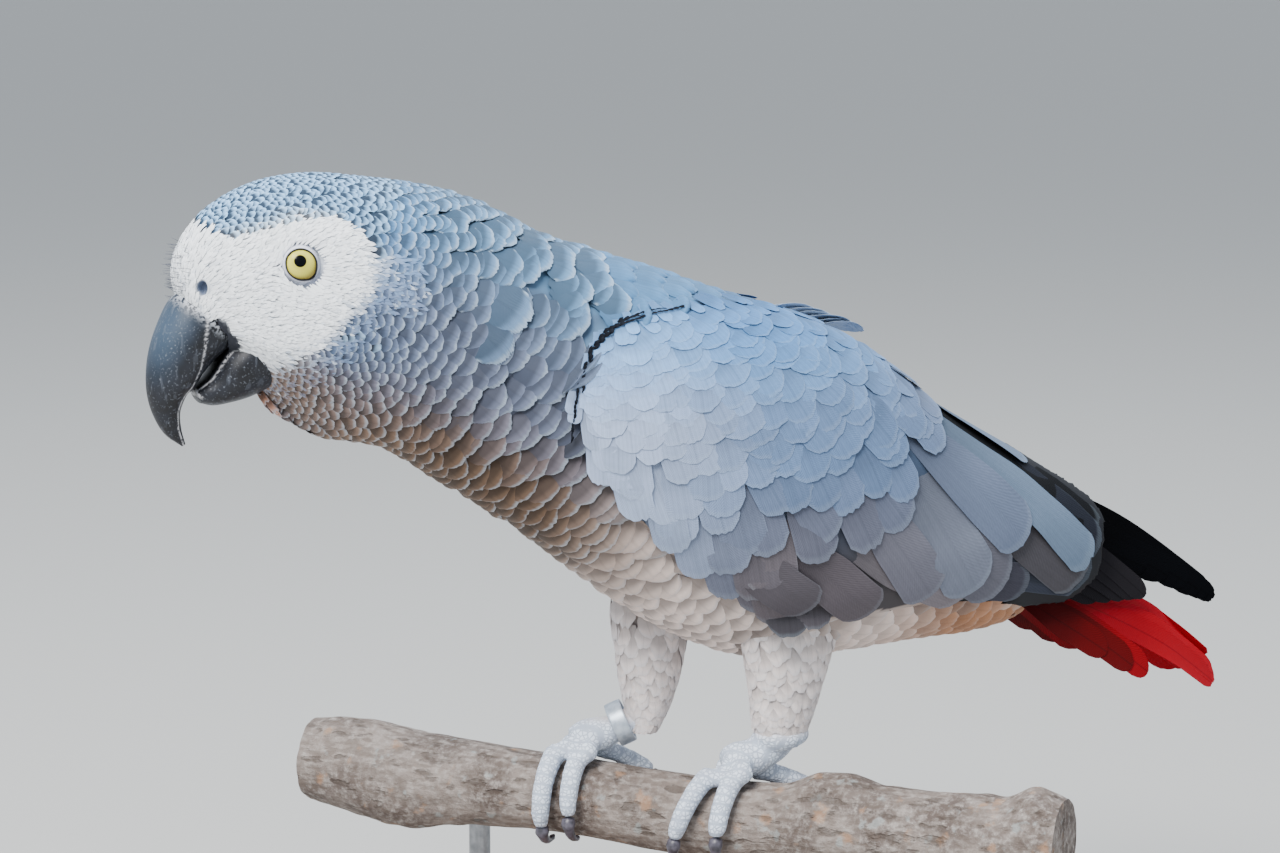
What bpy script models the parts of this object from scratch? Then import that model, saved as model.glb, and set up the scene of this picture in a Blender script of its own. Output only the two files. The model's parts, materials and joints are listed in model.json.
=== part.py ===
"""A life-size grey parrot gripping a cut branch, held by a plain display stand.

The bird faces -X and its left side is -Y.  The origin is the middle of the stand's
underside.  Tables and sizes are in millimetres; MM turns them into metres.
"""

import math

import bmesh
import bpy
import numpy as np
from mathutils import Vector

MM = 0.001

# Driving dimensions
GAP = 0.35                   # air between two pieces that touch
PERCH_HEADING = math.radians(-45)
PERCH_TURN = 24.0            # degrees between the branch's facets
BASE_THICKNESS = 12.0
BASE_HALF_LENGTH = 82.0
BASE_HALF_WIDTH = 62.0
BASE_CORNER = 20.0
ROD_RADIUS = 3.0
ROD_PLACES = (-58.0, 58.0)   # along the branch, from its middle
ROD_SINK = 5.0               # how deep a rod goes into the base and the branch
EYE_RADIUS = 5.2
EYE_PLACE = (-107.5, 13.1, 233.5)
RING_WALL = 1.0
RING_WIDTH = 4.6

# Outline of head, neck and trunk: each station is a plane across the body, given by its
# point on the back, its point on the front, its half width, how far down it is widest and
# how much it narrows below that, towards the chin.
BODY = (
    # back x, back z, front x, front z, half width, widest, narrowing
    (-134.9, 223.5, -125.5, 210.5, 6.5, 0.50, 0.6),   # bill root
    (-136.2, 232.0, -119.5, 204.5, 9.4, 0.52, 0.9),   # cere
    (-133.6, 239.8, -114.2, 199.8, 11.8, 0.54, 1.0),  # lores
    (-126.8, 247.1, -106.6, 192.2, 15.2, 0.55, 0.9),  # forehead
    (-115.0, 253.0, -99.0, 187.4, 17.9, 0.55, 0.5),   # eyes
    (-101.0, 255.0, -91.2, 185.6, 19.8, 0.55, 0.2),   # crown
    (-85.5, 253.6, -82.6, 183.4, 21.4, 0.54, 0.0),    # hind crown
    (-69.5, 251.0, -71.8, 176.8, 23.6, 0.53, 0.0),    # nape
    (-53.5, 245.8, -57.5, 167.6, 26.6, 0.52, 0.0),    # neck
    (-37.0, 237.2, -43.0, 157.8, 30.4, 0.50, 0.0),    # shoulders
    (-17.0, 231.0, -28.5, 146.4, 34.4, 0.50, 0.0),    # mantle
    (8.0, 222.8, -9.0, 132.0, 37.2, 0.50, 0.0),       # chest
    (35.0, 213.2, 14.0, 121.0, 37.6, 0.50, 0.0),      # back
    (56.0, 201.5, 38.0, 118.2, 34.4, 0.50, 0.0),      # belly
    (77.0, 186.0, 66.0, 119.6, 28.0, 0.50, 0.0),      # rump
    (94.5, 170.5, 90.0, 120.2, 19.5, 0.50, 0.0),      # vent
    (106.0, 156.0, 105.0, 123.4, 12.5, 0.50, 0.0),    # tail root
    (110.0, 148.0, 109.5, 130.0, 7.5, 0.50, 0.0),
)
NAPE, SHOULDERS = 7.0, 9.0   # stations where head, neck and trunk are parted
ROUNDNESS = 2.15             # exponent of the sections: 2 is an ellipse

# What the folded wings lie on: the trunk, and behind it the space over the tail.
WING_BED = BODY[9:15] + (
    (99.0, 172.4, 92.5, 119.4, 21.9, 0.50, 0.0),
    (119.5, 160.4, 111.5, 121.0, 16.2, 0.50, 0.0),
    (137.0, 150.0, 131.0, 124.0, 11.5, 0.50, 0.0),
)
# Borders of the wing on its bed: station, upper and lower edge in degrees from the back,
# and the thickness of the wing between them.
WING = (
    (-0.05, 86.0, 92.0, 0.6),
    (0.10, 74.0, 101.0, 2.2),
    (0.40, 62.0, 110.0, 4.2),
    (1.0, 48.0, 119.0, 5.2),
    (2.0, 28.0, 128.0, 5.2),
    (3.0, 15.0, 133.0, 5.0),
    (4.0, 10.0, 129.0, 4.2),
    (5.0, 9.0, 122.0, 3.4),
    (6.0, 9.0, 123.0, 2.6),
    (7.0, 11.0, 122.0, 2.0),
    (7.3, 18.0, 112.0, 1.5),
    (7.5, 36.0, 96.0, 1.0),
)
LEFT_WING_DROP = 8.0         # degrees that the left wing's upper edge lies lower, behind
# The long feathers that show behind each wing: upper edge x, y, z, lower edge x, y, z,
# outward bulge and thickness.
PRIMARIES_LEFT = (
    (114.0, -4.0, 152.0, 112.0, -11.5, 130.0, 1.5, 1.3),
    (124.0, -4.5, 148.0, 121.0, -10.5, 129.0, 1.3, 1.2),
    (131.0, -5.0, 141.5, 128.0, -9.5, 128.0, 1.0, 1.1),
    (136.5, -5.8, 134.5, 134.0, -8.5, 127.0, 0.7, 1.0),
    (140.5, -6.4, 130.0, 139.0, -7.8, 126.3, 0.4, 0.9),
    (143.0, -7.0, 127.0, 142.5, -7.2, 125.8, 0.1, 0.7),
)
PRIMARIES_RIGHT = (
    (116.0, 4.0, 156.0, 114.0, 11.5, 131.0, 1.5, 1.3),
    (131.0, 5.0, 152.8, 127.0, 10.5, 132.5, 1.3, 1.3),
    (146.0, 6.5, 146.0, 143.5, 9.5, 133.5, 1.0, 1.2),
    (156.4, 7.2, 141.0, 154.0, 9.0, 128.8, 0.8, 1.1),
    (163.5, 7.2, 136.6, 160.5, 8.5, 125.8, 0.6, 1.0),
    (170.5, 6.6, 131.8, 166.8, 7.5, 123.2, 0.4, 1.0),
    (174.6, 6.0, 126.8, 170.8, 6.6, 120.0, 0.2, 0.9),
    (175.8, 5.6, 121.6, 173.0, 6.0, 118.6, 0.1, 0.7),
)
EDGE_THICKNESS = 0.7
WING_GAP = 0.95              # air between a wing and the trunk, for facets that don't run alike

# Tail: stations down its ridge x, z, half width, and how far its outer edge hangs below
TAIL = (
    (101.0, 137.0, 10.5, 11.5),
    (124.0, 131.2, 14.5, 14.5),
    (146.5, 123.9, 17.0, 20.5),
    (158.0, 115.4, 17.8, 21.5),
    (169.3, 105.2, 18.2, 22.0),
)
TAIL_FEATHERS = 12
TAIL_STEP = 0.60             # how much shorter the outer feathers are, as a share
TAIL_TIP_ROUNDING = 0.035    # how deep the notches between the tips are, as a share
TAIL_THICKNESS = (2.4, 1.1)

# Bill: like the body's stations, from its root to its tip
UPPER_BILL = (
    # culmen x, z, cutting edge x, z, half width, widest
    (-131.8, 227.5, -118.8, 214.5, 8.6, 0.55),
    (-136.8, 224.6, -121.6, 212.6, 9.2, 0.56),
    (-140.3, 218.2, -126.4, 209.0, 8.9, 0.58),
    (-142.6, 211.6, -129.6, 205.6, 8.1, 0.60),
    (-143.5, 205.2, -131.6, 202.4, 6.9, 0.60),
    (-143.2, 199.6, -134.4, 200.6, 5.2, 0.56),
    (-141.5, 194.8, -136.8, 196.9, 3.2, 0.52),
    (-139.0, 191.2, -136.5, 193.2, 1.9, 0.50),
    (-136.2, 188.8, -134.9, 190.2, 0.9, 0.50),
)
LOWER_BILL = (
    # lower edge x, z, cutting edge x, z, half width, widest
    (-109.5, 202.6, -118.0, 213.6, 9.4, 0.45),
    (-113.8, 200.5, -121.7, 212.4, 9.5, 0.45),
    (-118.2, 198.8, -125.4, 208.6, 9.0, 0.45),
    (-122.8, 197.8, -128.0, 204.9, 7.6, 0.45),
    (-127.0, 197.3, -130.2, 202.6, 6.0, 0.45),
    (-130.2, 198.0, -131.8, 201.2, 4.0, 0.50),
)

# Feathered thighs: centre x, y, z, half length, half width
THIGH_LEFT = (
    (28.0, -17.5, 147.0, 15.8, 8.0),
    (27.2, -17.5, 133.0, 15.2, 8.0),
    (26.6, -17.0, 121.5, 12.6, 7.8),
    (25.9, -16.5, 111.0, 10.0, 7.2),
    (25.2, -16.0, 103.5, 8.3, 6.4),
    (25.2, -15.6, 98.6, 6.6, 5.4),
)
THIGH_RIGHT = (
    (2.0, 16.5, 147.0, 13.6, 8.0),
    (1.0, 16.5, 133.0, 12.6, 8.0),
    (0.2, 15.5, 122.0, 10.6, 7.8),
    (-0.8, 14.0, 112.5, 8.8, 7.2),
    (-1.6, 13.0, 106.5, 7.2, 6.2),
    (-2.2, 12.6, 102.6, 5.6, 5.2),
)
# Shank and sole: centre x, y, z, radius
SHANK_LEFT = (
    (26.2, -15.5, 101.0, 4.6),
    (24.0, -15.0, 98.0, 4.9),
    (20.6, -14.4, 95.6, 4.8),
    (16.8, -13.4, 94.0, 5.0),
    (13.0, -12.4, 93.4, 4.9),
    (9.8, -12.0, 92.8, 3.4),
)
SHANK_RIGHT = (
    (-1.0, 12.6, 103.6, 4.4),
    (-4.6, 13.2, 101.9, 4.7),
    (-9.4, 14.6, 99.7, 4.7),
    (-14.0, 16.6, 97.4, 5.0),
    (-18.2, 18.6, 95.6, 4.9),
    (-21.6, 20.2, 94.6, 3.5),
)
RING_PLACE = 1.95            # station of the right shank
# The branch: distance along it, height of its axis, radius
PERCH = (
    (-110.0, 81.0, 11.4),
    (-90.0, 79.8, 13.2),
    (-71.0, 79.0, 12.5),
    (-54.0, 79.1, 11.6),
    (-40.0, 79.2, 11.0),
    (-20.0, 78.4, 11.0),
    (0.0, 77.1, 11.2),
    (20.0, 76.6, 11.3),
    (40.0, 77.4, 11.6),
    (60.0, 77.9, 12.0),
    (85.0, 78.4, 12.5),
    (110.0, 79.3, 13.0),
)
# Its knots: distance along it, degrees from its top, height, half length
KNOTS = (
    (46.5, -6.0, 5.4, 7.0),
    (103.0, -4.0, 4.6, 4.6),
    (-98.0, -10.0, 1.8, 6.0),
    (-80.0, 150.0, 2.2, 7.0),
)
# Toes, wound round the branch: place along it at the root and at the tip, angle from its
# top at both (positive to the front), radius at both.
TOES = {
    "left": {
        "inner": (13.2, 6.2, 20.0, 100.0, 3.0, 2.5),
        "middle": (20.4, 18.4, 20.0, 92.0, 3.1, 2.6),
        "hind": (13.4, 8.6, -22.0, -84.0, 2.8, 2.4),
        "outer": (21.0, 36.5, -22.0, -64.0, 3.0, 2.5),
    },
    "right": {
        "inner": (-25.0, -24.8, 20.0, 97.0, 3.0, 2.5),
        "middle": (-32.0, -33.2, 20.0, 113.0, 3.1, 2.6),
        "hind": (-24.6, -11.0, -22.0, -62.0, 2.8, 2.4),
        "outer": (-31.8, -41.5, -22.0, -92.0, 3.0, 2.5),
    },
}
CLAW_SWEEP = 44.0            # degrees round the branch
CLAW_RADIUS = 1.75
CLAW_TIP_RADIUS = 0.35
CLAW_LIFT = 1.3
LEGS = {"left": (SHANK_LEFT, THIGH_LEFT), "right": (SHANK_RIGHT, THIGH_RIGHT)}


def clear_scene():
    """Starts from an empty scene."""
    for old in list(bpy.data.objects):
        bpy.data.objects.remove(old)


def collection(name, hidden=False):
    """A new collection for the parts or for the cutters."""
    made = bpy.data.collections.new(name)
    bpy.context.scene.collection.children.link(made)
    made.hide_render = hidden
    return made


def material(name, colour, roughness, metallic=0.0):
    """A plain Principled material."""
    made = bpy.data.materials.new(name)
    made.use_nodes = True
    shader = made.node_tree.nodes["Principled BSDF"]
    shader.inputs["Base Color"].default_value = (*colour, 1.0)
    shader.inputs["Roughness"].default_value = roughness
    shader.inputs["Metallic"].default_value = metallic
    return made


def resample(rows, places):
    """Values of a table's columns at fractional row places, on a smooth curve through its rows."""
    table = np.array(rows, float)
    padded = np.vstack([2 * table[0] - table[1], table, 2 * table[-1] - table[-2]])
    places = np.clip(np.asarray(places, float), 0, len(table) - 1)
    index = np.minimum(places.astype(int), len(table) - 2)
    t = (places - index)[:, None]
    a, b, c, d = (padded[index + k] for k in range(4))
    bend = (2 * a - 5 * b + 4 * c - d) * t**2 + (3 * b - a - 3 * c + d) * t**3
    return 0.5 * (2 * b + (c - a) * t + bend)


def look_up(rows, places):
    """Like resample, for a table whose first column is the place that the rest belongs to."""
    table = np.array(rows, float)
    index = np.interp(places, table[:, 0], np.arange(len(table)))
    return resample(table[:, 1:], index)


def section(station, angles, grow=0.0):
    """Points of one station's outline, at angles from the back, round by the bird's left side."""
    back, front = np.array(station[0:2]), np.array(station[2:4])
    width, widest, narrowing = station[4] + grow, station[5], station[6] if len(station) > 6 else 0.0
    down = front - back
    depth = np.linalg.norm(down)
    down = down / depth
    centre = back + down * depth * widest
    cosine, sine = np.cos(angles), np.sin(angles)
    power = 2 / ROUNDNESS
    reach = np.where(cosine > 0, depth * widest, depth * (1 - widest)) + grow
    along = -np.sign(cosine) * np.abs(cosine) ** power * reach
    low = np.clip(along / reach, 0, 1)
    aside = -np.sign(sine) * np.abs(sine) ** power * width * (1 - narrowing * low**2)
    points = np.empty((len(angles), 3))
    points[:, 0] = centre[0] + down[0] * along
    points[:, 1] = aside
    points[:, 2] = centre[1] + down[1] * along
    return points


def round_section(centre, axis, radii, sides=12):
    """Points of an ellipse across an axis in space: radii are fore-and-aft and sideways."""
    axis = Vector(axis).normalized()
    side = Vector((0, 1, 0)) - axis * axis.y
    side.normalize()
    front = side.cross(axis)
    angles = np.linspace(0, 2 * math.pi, sides, endpoint=False)
    centre, front, side = np.array(centre), np.array(front), np.array(side)
    return np.array([
        centre + front * radii[0] * math.cos(a) + side * radii[1] * math.sin(a) for a in angles
    ])


def mesh_object(name, points, faces, look, group):
    """An object from points in millimetres and faces, with its faces made to point out."""
    mesh = bpy.data.meshes.new(name)
    mesh.from_pydata([tuple(p) for p in np.asarray(points) * MM], [], faces)
    work = bmesh.new()
    work.from_mesh(mesh)
    bmesh.ops.recalc_face_normals(work, faces=work.faces)
    work.to_mesh(mesh)
    work.free()
    mesh.materials.append(look)
    mesh.shade_smooth()
    mesh.set_sharp_from_angle(angle=math.radians(50))
    made = bpy.data.objects.new(name, mesh)
    group.objects.link(made)
    return made


def loft(name, rings, look, group):
    """A closed solid through rings of equally many points, with flat ends."""
    size = len(rings[0])
    points = np.vstack(rings)
    faces = [tuple(range(size)), tuple(len(points) - size + k for k in range(size))]
    for r in range(len(rings) - 1):
        for k in range(size):
            here, beside = r * size + k, r * size + (k + 1) % size
            faces.append((here, beside, beside + size, here + size))
    return mesh_object(name, points, faces, look, group)


def slab(name, upper, lower, look, group):
    """A closed solid between two grids of points of one shape (rows, columns, 3)."""
    rows, columns = upper.shape[:2]
    count = rows * columns
    points = np.vstack([upper.reshape(-1, 3), lower.reshape(-1, 3)])
    faces = []
    for r in range(rows - 1):
        for c in range(columns - 1):
            a = r * columns + c
            quad = (a, a + 1, a + columns + 1, a + columns)
            faces.append(quad)
            faces.append(tuple(count + k for k in reversed(quad)))
    border = [c for c in range(columns)]
    border += [r * columns + columns - 1 for r in range(1, rows)]
    border += [(rows - 1) * columns + c for c in range(columns - 2, -1, -1)]
    border += [r * columns for r in range(rows - 2, 0, -1)]
    for here, beside in zip(border, border[1:] + border[:1]):
        faces.append((here, here + count, beside + count, beside))
    return mesh_object(name, points, faces, look, group)


def subtract(target, cutter):
    """Cuts one solid out of another, with Blender's exact solver, as a modifier."""
    cut = target.modifiers.new("cut_" + cutter.name, "BOOLEAN")
    cut.operation = "DIFFERENCE"
    cut.object = cutter
    cut.solver = "EXACT"


def body_rings(first, last, per_station, grow=0.0, end_gap=(0.0, 0.0)):
    """The body's sections between two stations, its end sections drawn back by half a gap."""
    count = round((last - first) * per_station) + 1
    angles = np.linspace(0, 2 * math.pi, 20, endpoint=False)
    rings = [section(row, angles, grow) for row in resample(BODY, np.linspace(first, last, count))]
    for end, inward, gap in ((0, 1, end_gap[0]), (-1, -2, end_gap[1])):
        step = rings[inward].mean(axis=0) - rings[end].mean(axis=0)
        rings[end] = rings[end] + step / np.linalg.norm(step) * gap
    return rings


def build_body(parts, cutters, looks):
    """Head, neck and trunk, parted by thin cuts, with sockets for the eyes."""
    half = GAP / 2
    head = loft("head", body_rings(0, NAPE, 2, 0, (0, half)), looks["plumage"], parts)
    loft("neck", body_rings(NAPE, SHOULDERS, 2, 0, (half, half)), looks["plumage"], parts)
    loft("trunk", body_rings(SHOULDERS, len(BODY) - 1, 2, 0, (half, 0)), looks["plumage"], parts)
    for side, name in ((-1, "left"), (1, "right")):
        place = Vector((EYE_PLACE[0], side * EYE_PLACE[1], EYE_PLACE[2])) * MM
        eye = sphere("eye_" + name, place, EYE_RADIUS, looks["eye"], parts)
        eye.data.shade_smooth()
        subtract(head, sphere("socket_" + name, place, EYE_RADIUS + GAP, looks["eye"], cutters))
    return head


def sphere(name, place, radius, look, group):
    """A round ball with its poles facing sideways."""
    mesh = bpy.data.meshes.new(name)
    work = bmesh.new()
    bmesh.ops.create_uvsphere(work, u_segments=14, v_segments=8, radius=radius * MM)
    work.to_mesh(mesh)
    work.free()
    mesh.materials.append(look)
    made = bpy.data.objects.new(name, mesh)
    made.location = place
    made.rotation_euler = (math.radians(90), 0, 0)
    group.objects.link(made)
    return made


def wing_grid(rows, columns, side, lift):
    """Points over the wing bed, lift(across, thickness) above it, for the left (-1) or right (1)."""
    table = np.array(WING, float)
    ease = np.linspace(0, 1, rows)
    stations = np.interp(ease * (len(table) - 1), np.arange(len(table)), table[:, 0])
    edges = look_up(WING, stations)
    beds = resample(WING_BED, stations)
    across = np.linspace(0, 1, columns)
    grid = np.empty((rows, columns, 3))
    for r in range(rows):
        top, bottom, thickness = edges[r]
        if side < 0:
            top += LEFT_WING_DROP * smooth_step(stations[r], 4, 6)
        angles = np.radians(top + (bottom - top) * across)
        for c in range(columns):
            grid[r, c] = section(beds[r], angles[c:c + 1], lift(across[c], thickness))[0]
    grid[:, :, 1] *= -side
    return grid


def wing_lift(across, thickness):
    """Height of the wing's outer face above the bed: full in the middle, thin at both edges."""
    bulge = max(0.0, thickness - EDGE_THICKNESS) * math.sin(math.pi * across) ** 0.6
    return WING_GAP + EDGE_THICKNESS + bulge


def blade_grids(rows, count, columns):
    """Outer and inner face of a bundle of long feathers, from the table of its two edges."""
    values = resample(rows, np.linspace(0, len(rows) - 1, count))
    across = np.linspace(0, 1, columns)[None, :, None]
    spine = values[:, None, :3] * (1 - across) + values[:, None, 3:6] * across
    outward = np.zeros_like(spine)
    outward[:, :, 1] = np.sign(values[0, 1])
    arch = 4 * across * (1 - across)
    outer = spine + outward * (values[:, None, 6:7] * arch + values[:, None, 7:8] / 2)
    inner = spine + outward * (values[:, None, 6:7] * arch - values[:, None, 7:8] / 2)
    return outer, inner


def build_wings(parts, looks):
    """Each folded wing, and the long wing feathers that reach out behind it."""
    for side, name, blade in ((-1, "left", PRIMARIES_LEFT), (1, "right", PRIMARIES_RIGHT)):
        outer = wing_grid(17, 9, side, wing_lift)
        inner = wing_grid(17, 9, side, lambda across, thickness: WING_GAP)
        slab("wing_" + name, outer, inner, looks["wing"], parts)
        outer, inner = blade_grids(blade, 2 * len(blade) - 1, 5)
        slab("primaries_" + name, outer, inner, looks["primaries"], parts)


def tail_point(across, along, lift):
    """A point of the domed tail: across from -1 to 1, along from 0 to 1, lift above its middle."""
    feather = (across + 1) / 2 * TAIL_FEATHERS
    from_shaft = abs(feather - math.floor(feather) - 0.5) * 2 if 0 < feather < TAIL_FEATHERS else 1.0
    reach = 1 - TAIL_STEP * abs(across) ** 1.6 - TAIL_TIP_ROUNDING * from_shaft**2
    x, z, half_width, hang = resample(TAIL, [along * reach * (len(TAIL) - 1)])[0]
    slope = math.atan2(hang * abs(across) ** 0.4 * 1.4, half_width)
    return (
        x,
        across * half_width + math.copysign(lift * math.sin(slope), across) * min(1, abs(across) * 6),
        z - hang * abs(across) ** 1.4 + lift * math.cos(slope),
    )


def build_tail(parts, cutters, looks):
    """The short tail as one domed fan with a scalloped end, cut clear of the trunk."""
    across = np.linspace(-1, 1, TAIL_FEATHERS * 2 + 1)
    along = np.linspace(0, 1, 5)
    thick, thin = TAIL_THICKNESS
    half = [(thick + (thin - thick) * s) / 2 for s in along]
    upper = np.array([[tail_point(a, s, h) for a in across] for s, h in zip(along, half)])
    lower = np.array([[tail_point(a, s, -h) for a in across] for s, h in zip(along, half)])
    tail = slab("tail", upper, lower, looks["tail"], parts)
    rings = body_rings(SHOULDERS + 4, len(BODY) - 1, 3, GAP)
    subtract(tail, loft("trunk_clearance", rings, looks["plumage"], cutters))


def bill_rings(rows, per_station, grow=0.0):
    """Sections of a bill half from its root to its tip."""
    angles = np.linspace(0, 2 * math.pi, 14, endpoint=False)
    count = (len(rows) - 1) * per_station + 1
    return [section(row, angles, grow) for row in resample(rows, np.linspace(0, len(rows) - 1, count))]


def build_bill(parts, cutters, looks, head):
    """Both halves of the bill, the head cut clear of them."""
    for name, rows in (("bill_upper", UPPER_BILL), ("bill_lower", LOWER_BILL)):
        loft(name, bill_rings(rows, 2), looks["horn"], parts)
        subtract(head, loft(name + "_clearance", bill_rings(rows, 2, GAP), looks["horn"], cutters))


def limb_rings(rows, per_station, grow=0.0):
    """Sections of a leg: ellipses across the line through the table's centres."""
    places = np.linspace(0, len(rows) - 1, (len(rows) - 1) * per_station + 1)
    values = resample(rows, places)
    axes = np.gradient(values[:, :3], axis=0)
    return [
        round_section(row[:3], axis, (row[3] + grow, row[min(4, len(row) - 1)] + grow))
        for row, axis in zip(values, axes)
    ]


def perch_line(along):
    """The branch's axis point and radius at a distance along it, without its knots."""
    height, radius = look_up(PERCH, [along])[0]
    heading = np.array([math.cos(PERCH_HEADING), math.sin(PERCH_HEADING), 0])
    return heading * along + np.array([0, 0, height]), radius


def smooth_step(value, low, high):
    """0 below low, 1 above high, smooth between."""
    t = min(1.0, max(0.0, (value - low) / (high - low)))
    return t * t * (3 - 2 * t)


def perch_point(along, angle, distance):
    """A point off the branch's axis: angle in degrees from its top, positive to the front."""
    forward = np.array([math.sin(PERCH_HEADING), -math.cos(PERCH_HEADING), 0])
    turn = math.radians(angle)
    offset = forward * math.sin(turn) + np.array([0, 0, math.cos(turn)])
    return perch_line(along)[0] + offset * distance


def perch_radius(along, angle):
    """The branch is even where the feet grip it, and knotty beyond them."""
    radius = perch_line(along)[1]
    for place, turn, height, half_length in KNOTS:
        facing = max(0.0, math.cos(math.radians(angle - turn)))
        radius += height * math.exp(-(((along - place) / half_length) ** 2)) * facing**2.5
    free = smooth_step(abs(along + 6), 48, 60)
    return radius + free * 0.5 * math.sin(2 * math.radians(angle) + along / 23.0)


def build_perch(parts, cutters, looks):
    """The cut branch, bored for the stand's rods."""
    rings = []
    for along in np.linspace(PERCH[0][0], PERCH[-1][0], 27):
        turns = np.arange(0, 360, PERCH_TURN)
        rings.append(np.array([perch_point(along, a, perch_radius(along, a)) for a in turns]))
    perch = loft("perch_branch", rings, looks["bark"], parts)
    for index, along in enumerate(ROD_PLACES, 1):
        subtract(perch, rod(f"rod_bore_{index}", along, GAP, looks["metal"], cutters))


def rod(name, along, grow, look, group):
    """An upright rod from inside the base to inside the branch."""
    foot, radius = perch_line(along)
    top = foot[2] - radius + ROD_SINK + grow
    bottom = BASE_THICKNESS - ROD_SINK - grow
    mesh = bpy.data.meshes.new(name)
    work = bmesh.new()
    bmesh.ops.create_cone(
        work, cap_ends=True, segments=20, depth=(top - bottom) * MM,
        radius1=(ROD_RADIUS + grow) * MM, radius2=(ROD_RADIUS + grow) * MM,
    )
    work.to_mesh(mesh)
    work.free()
    mesh.materials.append(look)
    made = bpy.data.objects.new(name, mesh)
    made.location = Vector((foot[0], foot[1], (top + bottom) / 2)) * MM
    group.objects.link(made)
    return made


def build_stand(parts, cutters, looks):
    """A flat base with rounded corners, and the two rods that hold the branch."""
    outline = []
    for corner in range(4):
        sign_x = 1 if corner in (0, 3) else -1
        sign_y = 1 if corner in (0, 1) else -1
        centre = (sign_x * (BASE_HALF_LENGTH - BASE_CORNER), sign_y * (BASE_HALF_WIDTH - BASE_CORNER))
        for step in range(5):
            turn = math.radians(90 * corner + 22.5 * step)
            across, along = BASE_CORNER * math.cos(turn), BASE_CORNER * math.sin(turn)
            outline.append((centre[0] + across, centre[1] + along))
    rings = [np.array([(x, y, z) for x, y in outline]) for z in (0.0, BASE_THICKNESS)]
    base = loft("stand_base", rings, looks["base"], parts)
    bevel = base.modifiers.new("edge", "BEVEL")
    bevel.width = 1.2 * MM
    bevel.segments = 1
    bevel.limit_method = "ANGLE"
    bevel.angle_limit = math.radians(60)
    for index, along in enumerate(ROD_PLACES, 1):
        rod(f"stand_rod_{index}", along, 0.0, looks["metal"], parts)
        subtract(base, rod(f"rod_seat_{index}", along, GAP, looks["metal"], cutters))


def tube(name, path, radii, look, group):
    """A round tube along a path, with a radius at each of its points and filled caps."""
    curve = bpy.data.curves.new(name, "CURVE")
    curve.dimensions = "3D"
    curve.bevel_depth = MM
    curve.bevel_resolution = 2
    curve.use_fill_caps = True
    line = curve.splines.new("POLY")
    line.points.add(len(path) - 1)
    for point, place, radius in zip(line.points, path, radii):
        point.co = (*(np.array(place) * MM), 1.0)
        point.radius = radius
    guide = bpy.data.objects.new(name + "_guide", curve)
    group.objects.link(guide)
    bpy.context.view_layer.update()
    mesh = bpy.data.meshes.new_from_object(guide.evaluated_get(bpy.context.evaluated_depsgraph_get()))
    work = bmesh.new()
    work.from_mesh(mesh)
    bmesh.ops.remove_doubles(work, verts=work.verts, dist=1e-6)
    bmesh.ops.recalc_face_normals(work, faces=work.faces)
    work.to_mesh(mesh)
    work.free()
    mesh.name = name
    mesh.materials.clear()
    mesh.materials.append(look)
    mesh.shade_smooth()
    made = bpy.data.objects.new(name, mesh)
    made.matrix_world = guide.matrix_world
    group.objects.link(made)
    bpy.data.objects.remove(guide)
    return made


def toe_path(row, steps):
    """Centres and radii of one toe, lying on the branch."""
    root_along, tip_along, root_angle, tip_angle, root_radius, tip_radius = row
    path, radii = [], []
    for t in np.linspace(0, 1, steps):
        along = root_along + (tip_along - root_along) * t
        angle = root_angle + (tip_angle - root_angle) * t
        radius = root_radius + (tip_radius - root_radius) * t
        if t == 1:
            radius *= 0.8
        path.append(perch_point(along, angle, perch_radius(along, angle) + GAP + root_radius))
        radii.append(radius)
    return path, radii


def claw_path(row, steps):
    """Centres and radii of the claw that goes on from the toe's tip and hooks down."""
    root_along, tip_along, root_angle, tip_angle, root_radius, _ = row
    onward = math.copysign(1, tip_angle)
    drift = (tip_along - root_along) / abs(tip_angle - root_angle) / 2
    gap_angle = math.degrees((GAP + 0.4) / (perch_radius(tip_along, tip_angle) + root_radius))
    path, radii = [], []
    for t in np.linspace(0, 1, steps):
        angle = tip_angle + onward * (gap_angle + CLAW_SWEEP * t)
        along = tip_along + drift * CLAW_SWEEP * t
        radius = CLAW_TIP_RADIUS + (CLAW_RADIUS - CLAW_TIP_RADIUS) * (1 - t) ** 0.8
        height = GAP + radius + (root_radius - CLAW_RADIUS) * (1 - t)
        height += CLAW_LIFT * math.sin(math.pi * t ** 0.8)
        path.append(perch_point(along, angle, perch_radius(along, angle) + height))
        radii.append(radius)
    return path, radii


def build_legs(parts, cutters, looks):
    """Thighs, shanks with their soles, toes and claws, each cut clear of what it grows from."""
    for name, (shank_rows, thigh_rows) in LEGS.items():
        thigh = loft("thigh_" + name, limb_rings(thigh_rows, 2), looks["thigh"], parts)
        trunk = body_rings(SHOULDERS, SHOULDERS + 7, 2, GAP)
        subtract(thigh, loft("trunk_room_" + name, trunk, looks["plumage"], cutters))
        shank = loft("foot_" + name, limb_rings(shank_rows, 2), looks["skin"], parts)
        above = limb_rings(thigh_rows, 2, GAP)
        subtract(shank, loft("thigh_room_" + name, above, looks["thigh"], cutters))
        shank_room = loft(f"foot_room_{name}", limb_rings(shank_rows, 2, GAP), looks["skin"], cutters)
        for toe, row in TOES[name].items():
            made = tube(f"toe_{toe}_{name}", *toe_path(row, 7), looks["skin"], parts)
            subtract(made, shank_room)
            tube(f"claw_{toe}_{name}", *claw_path(row, 5), looks["claw"], parts)


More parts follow.
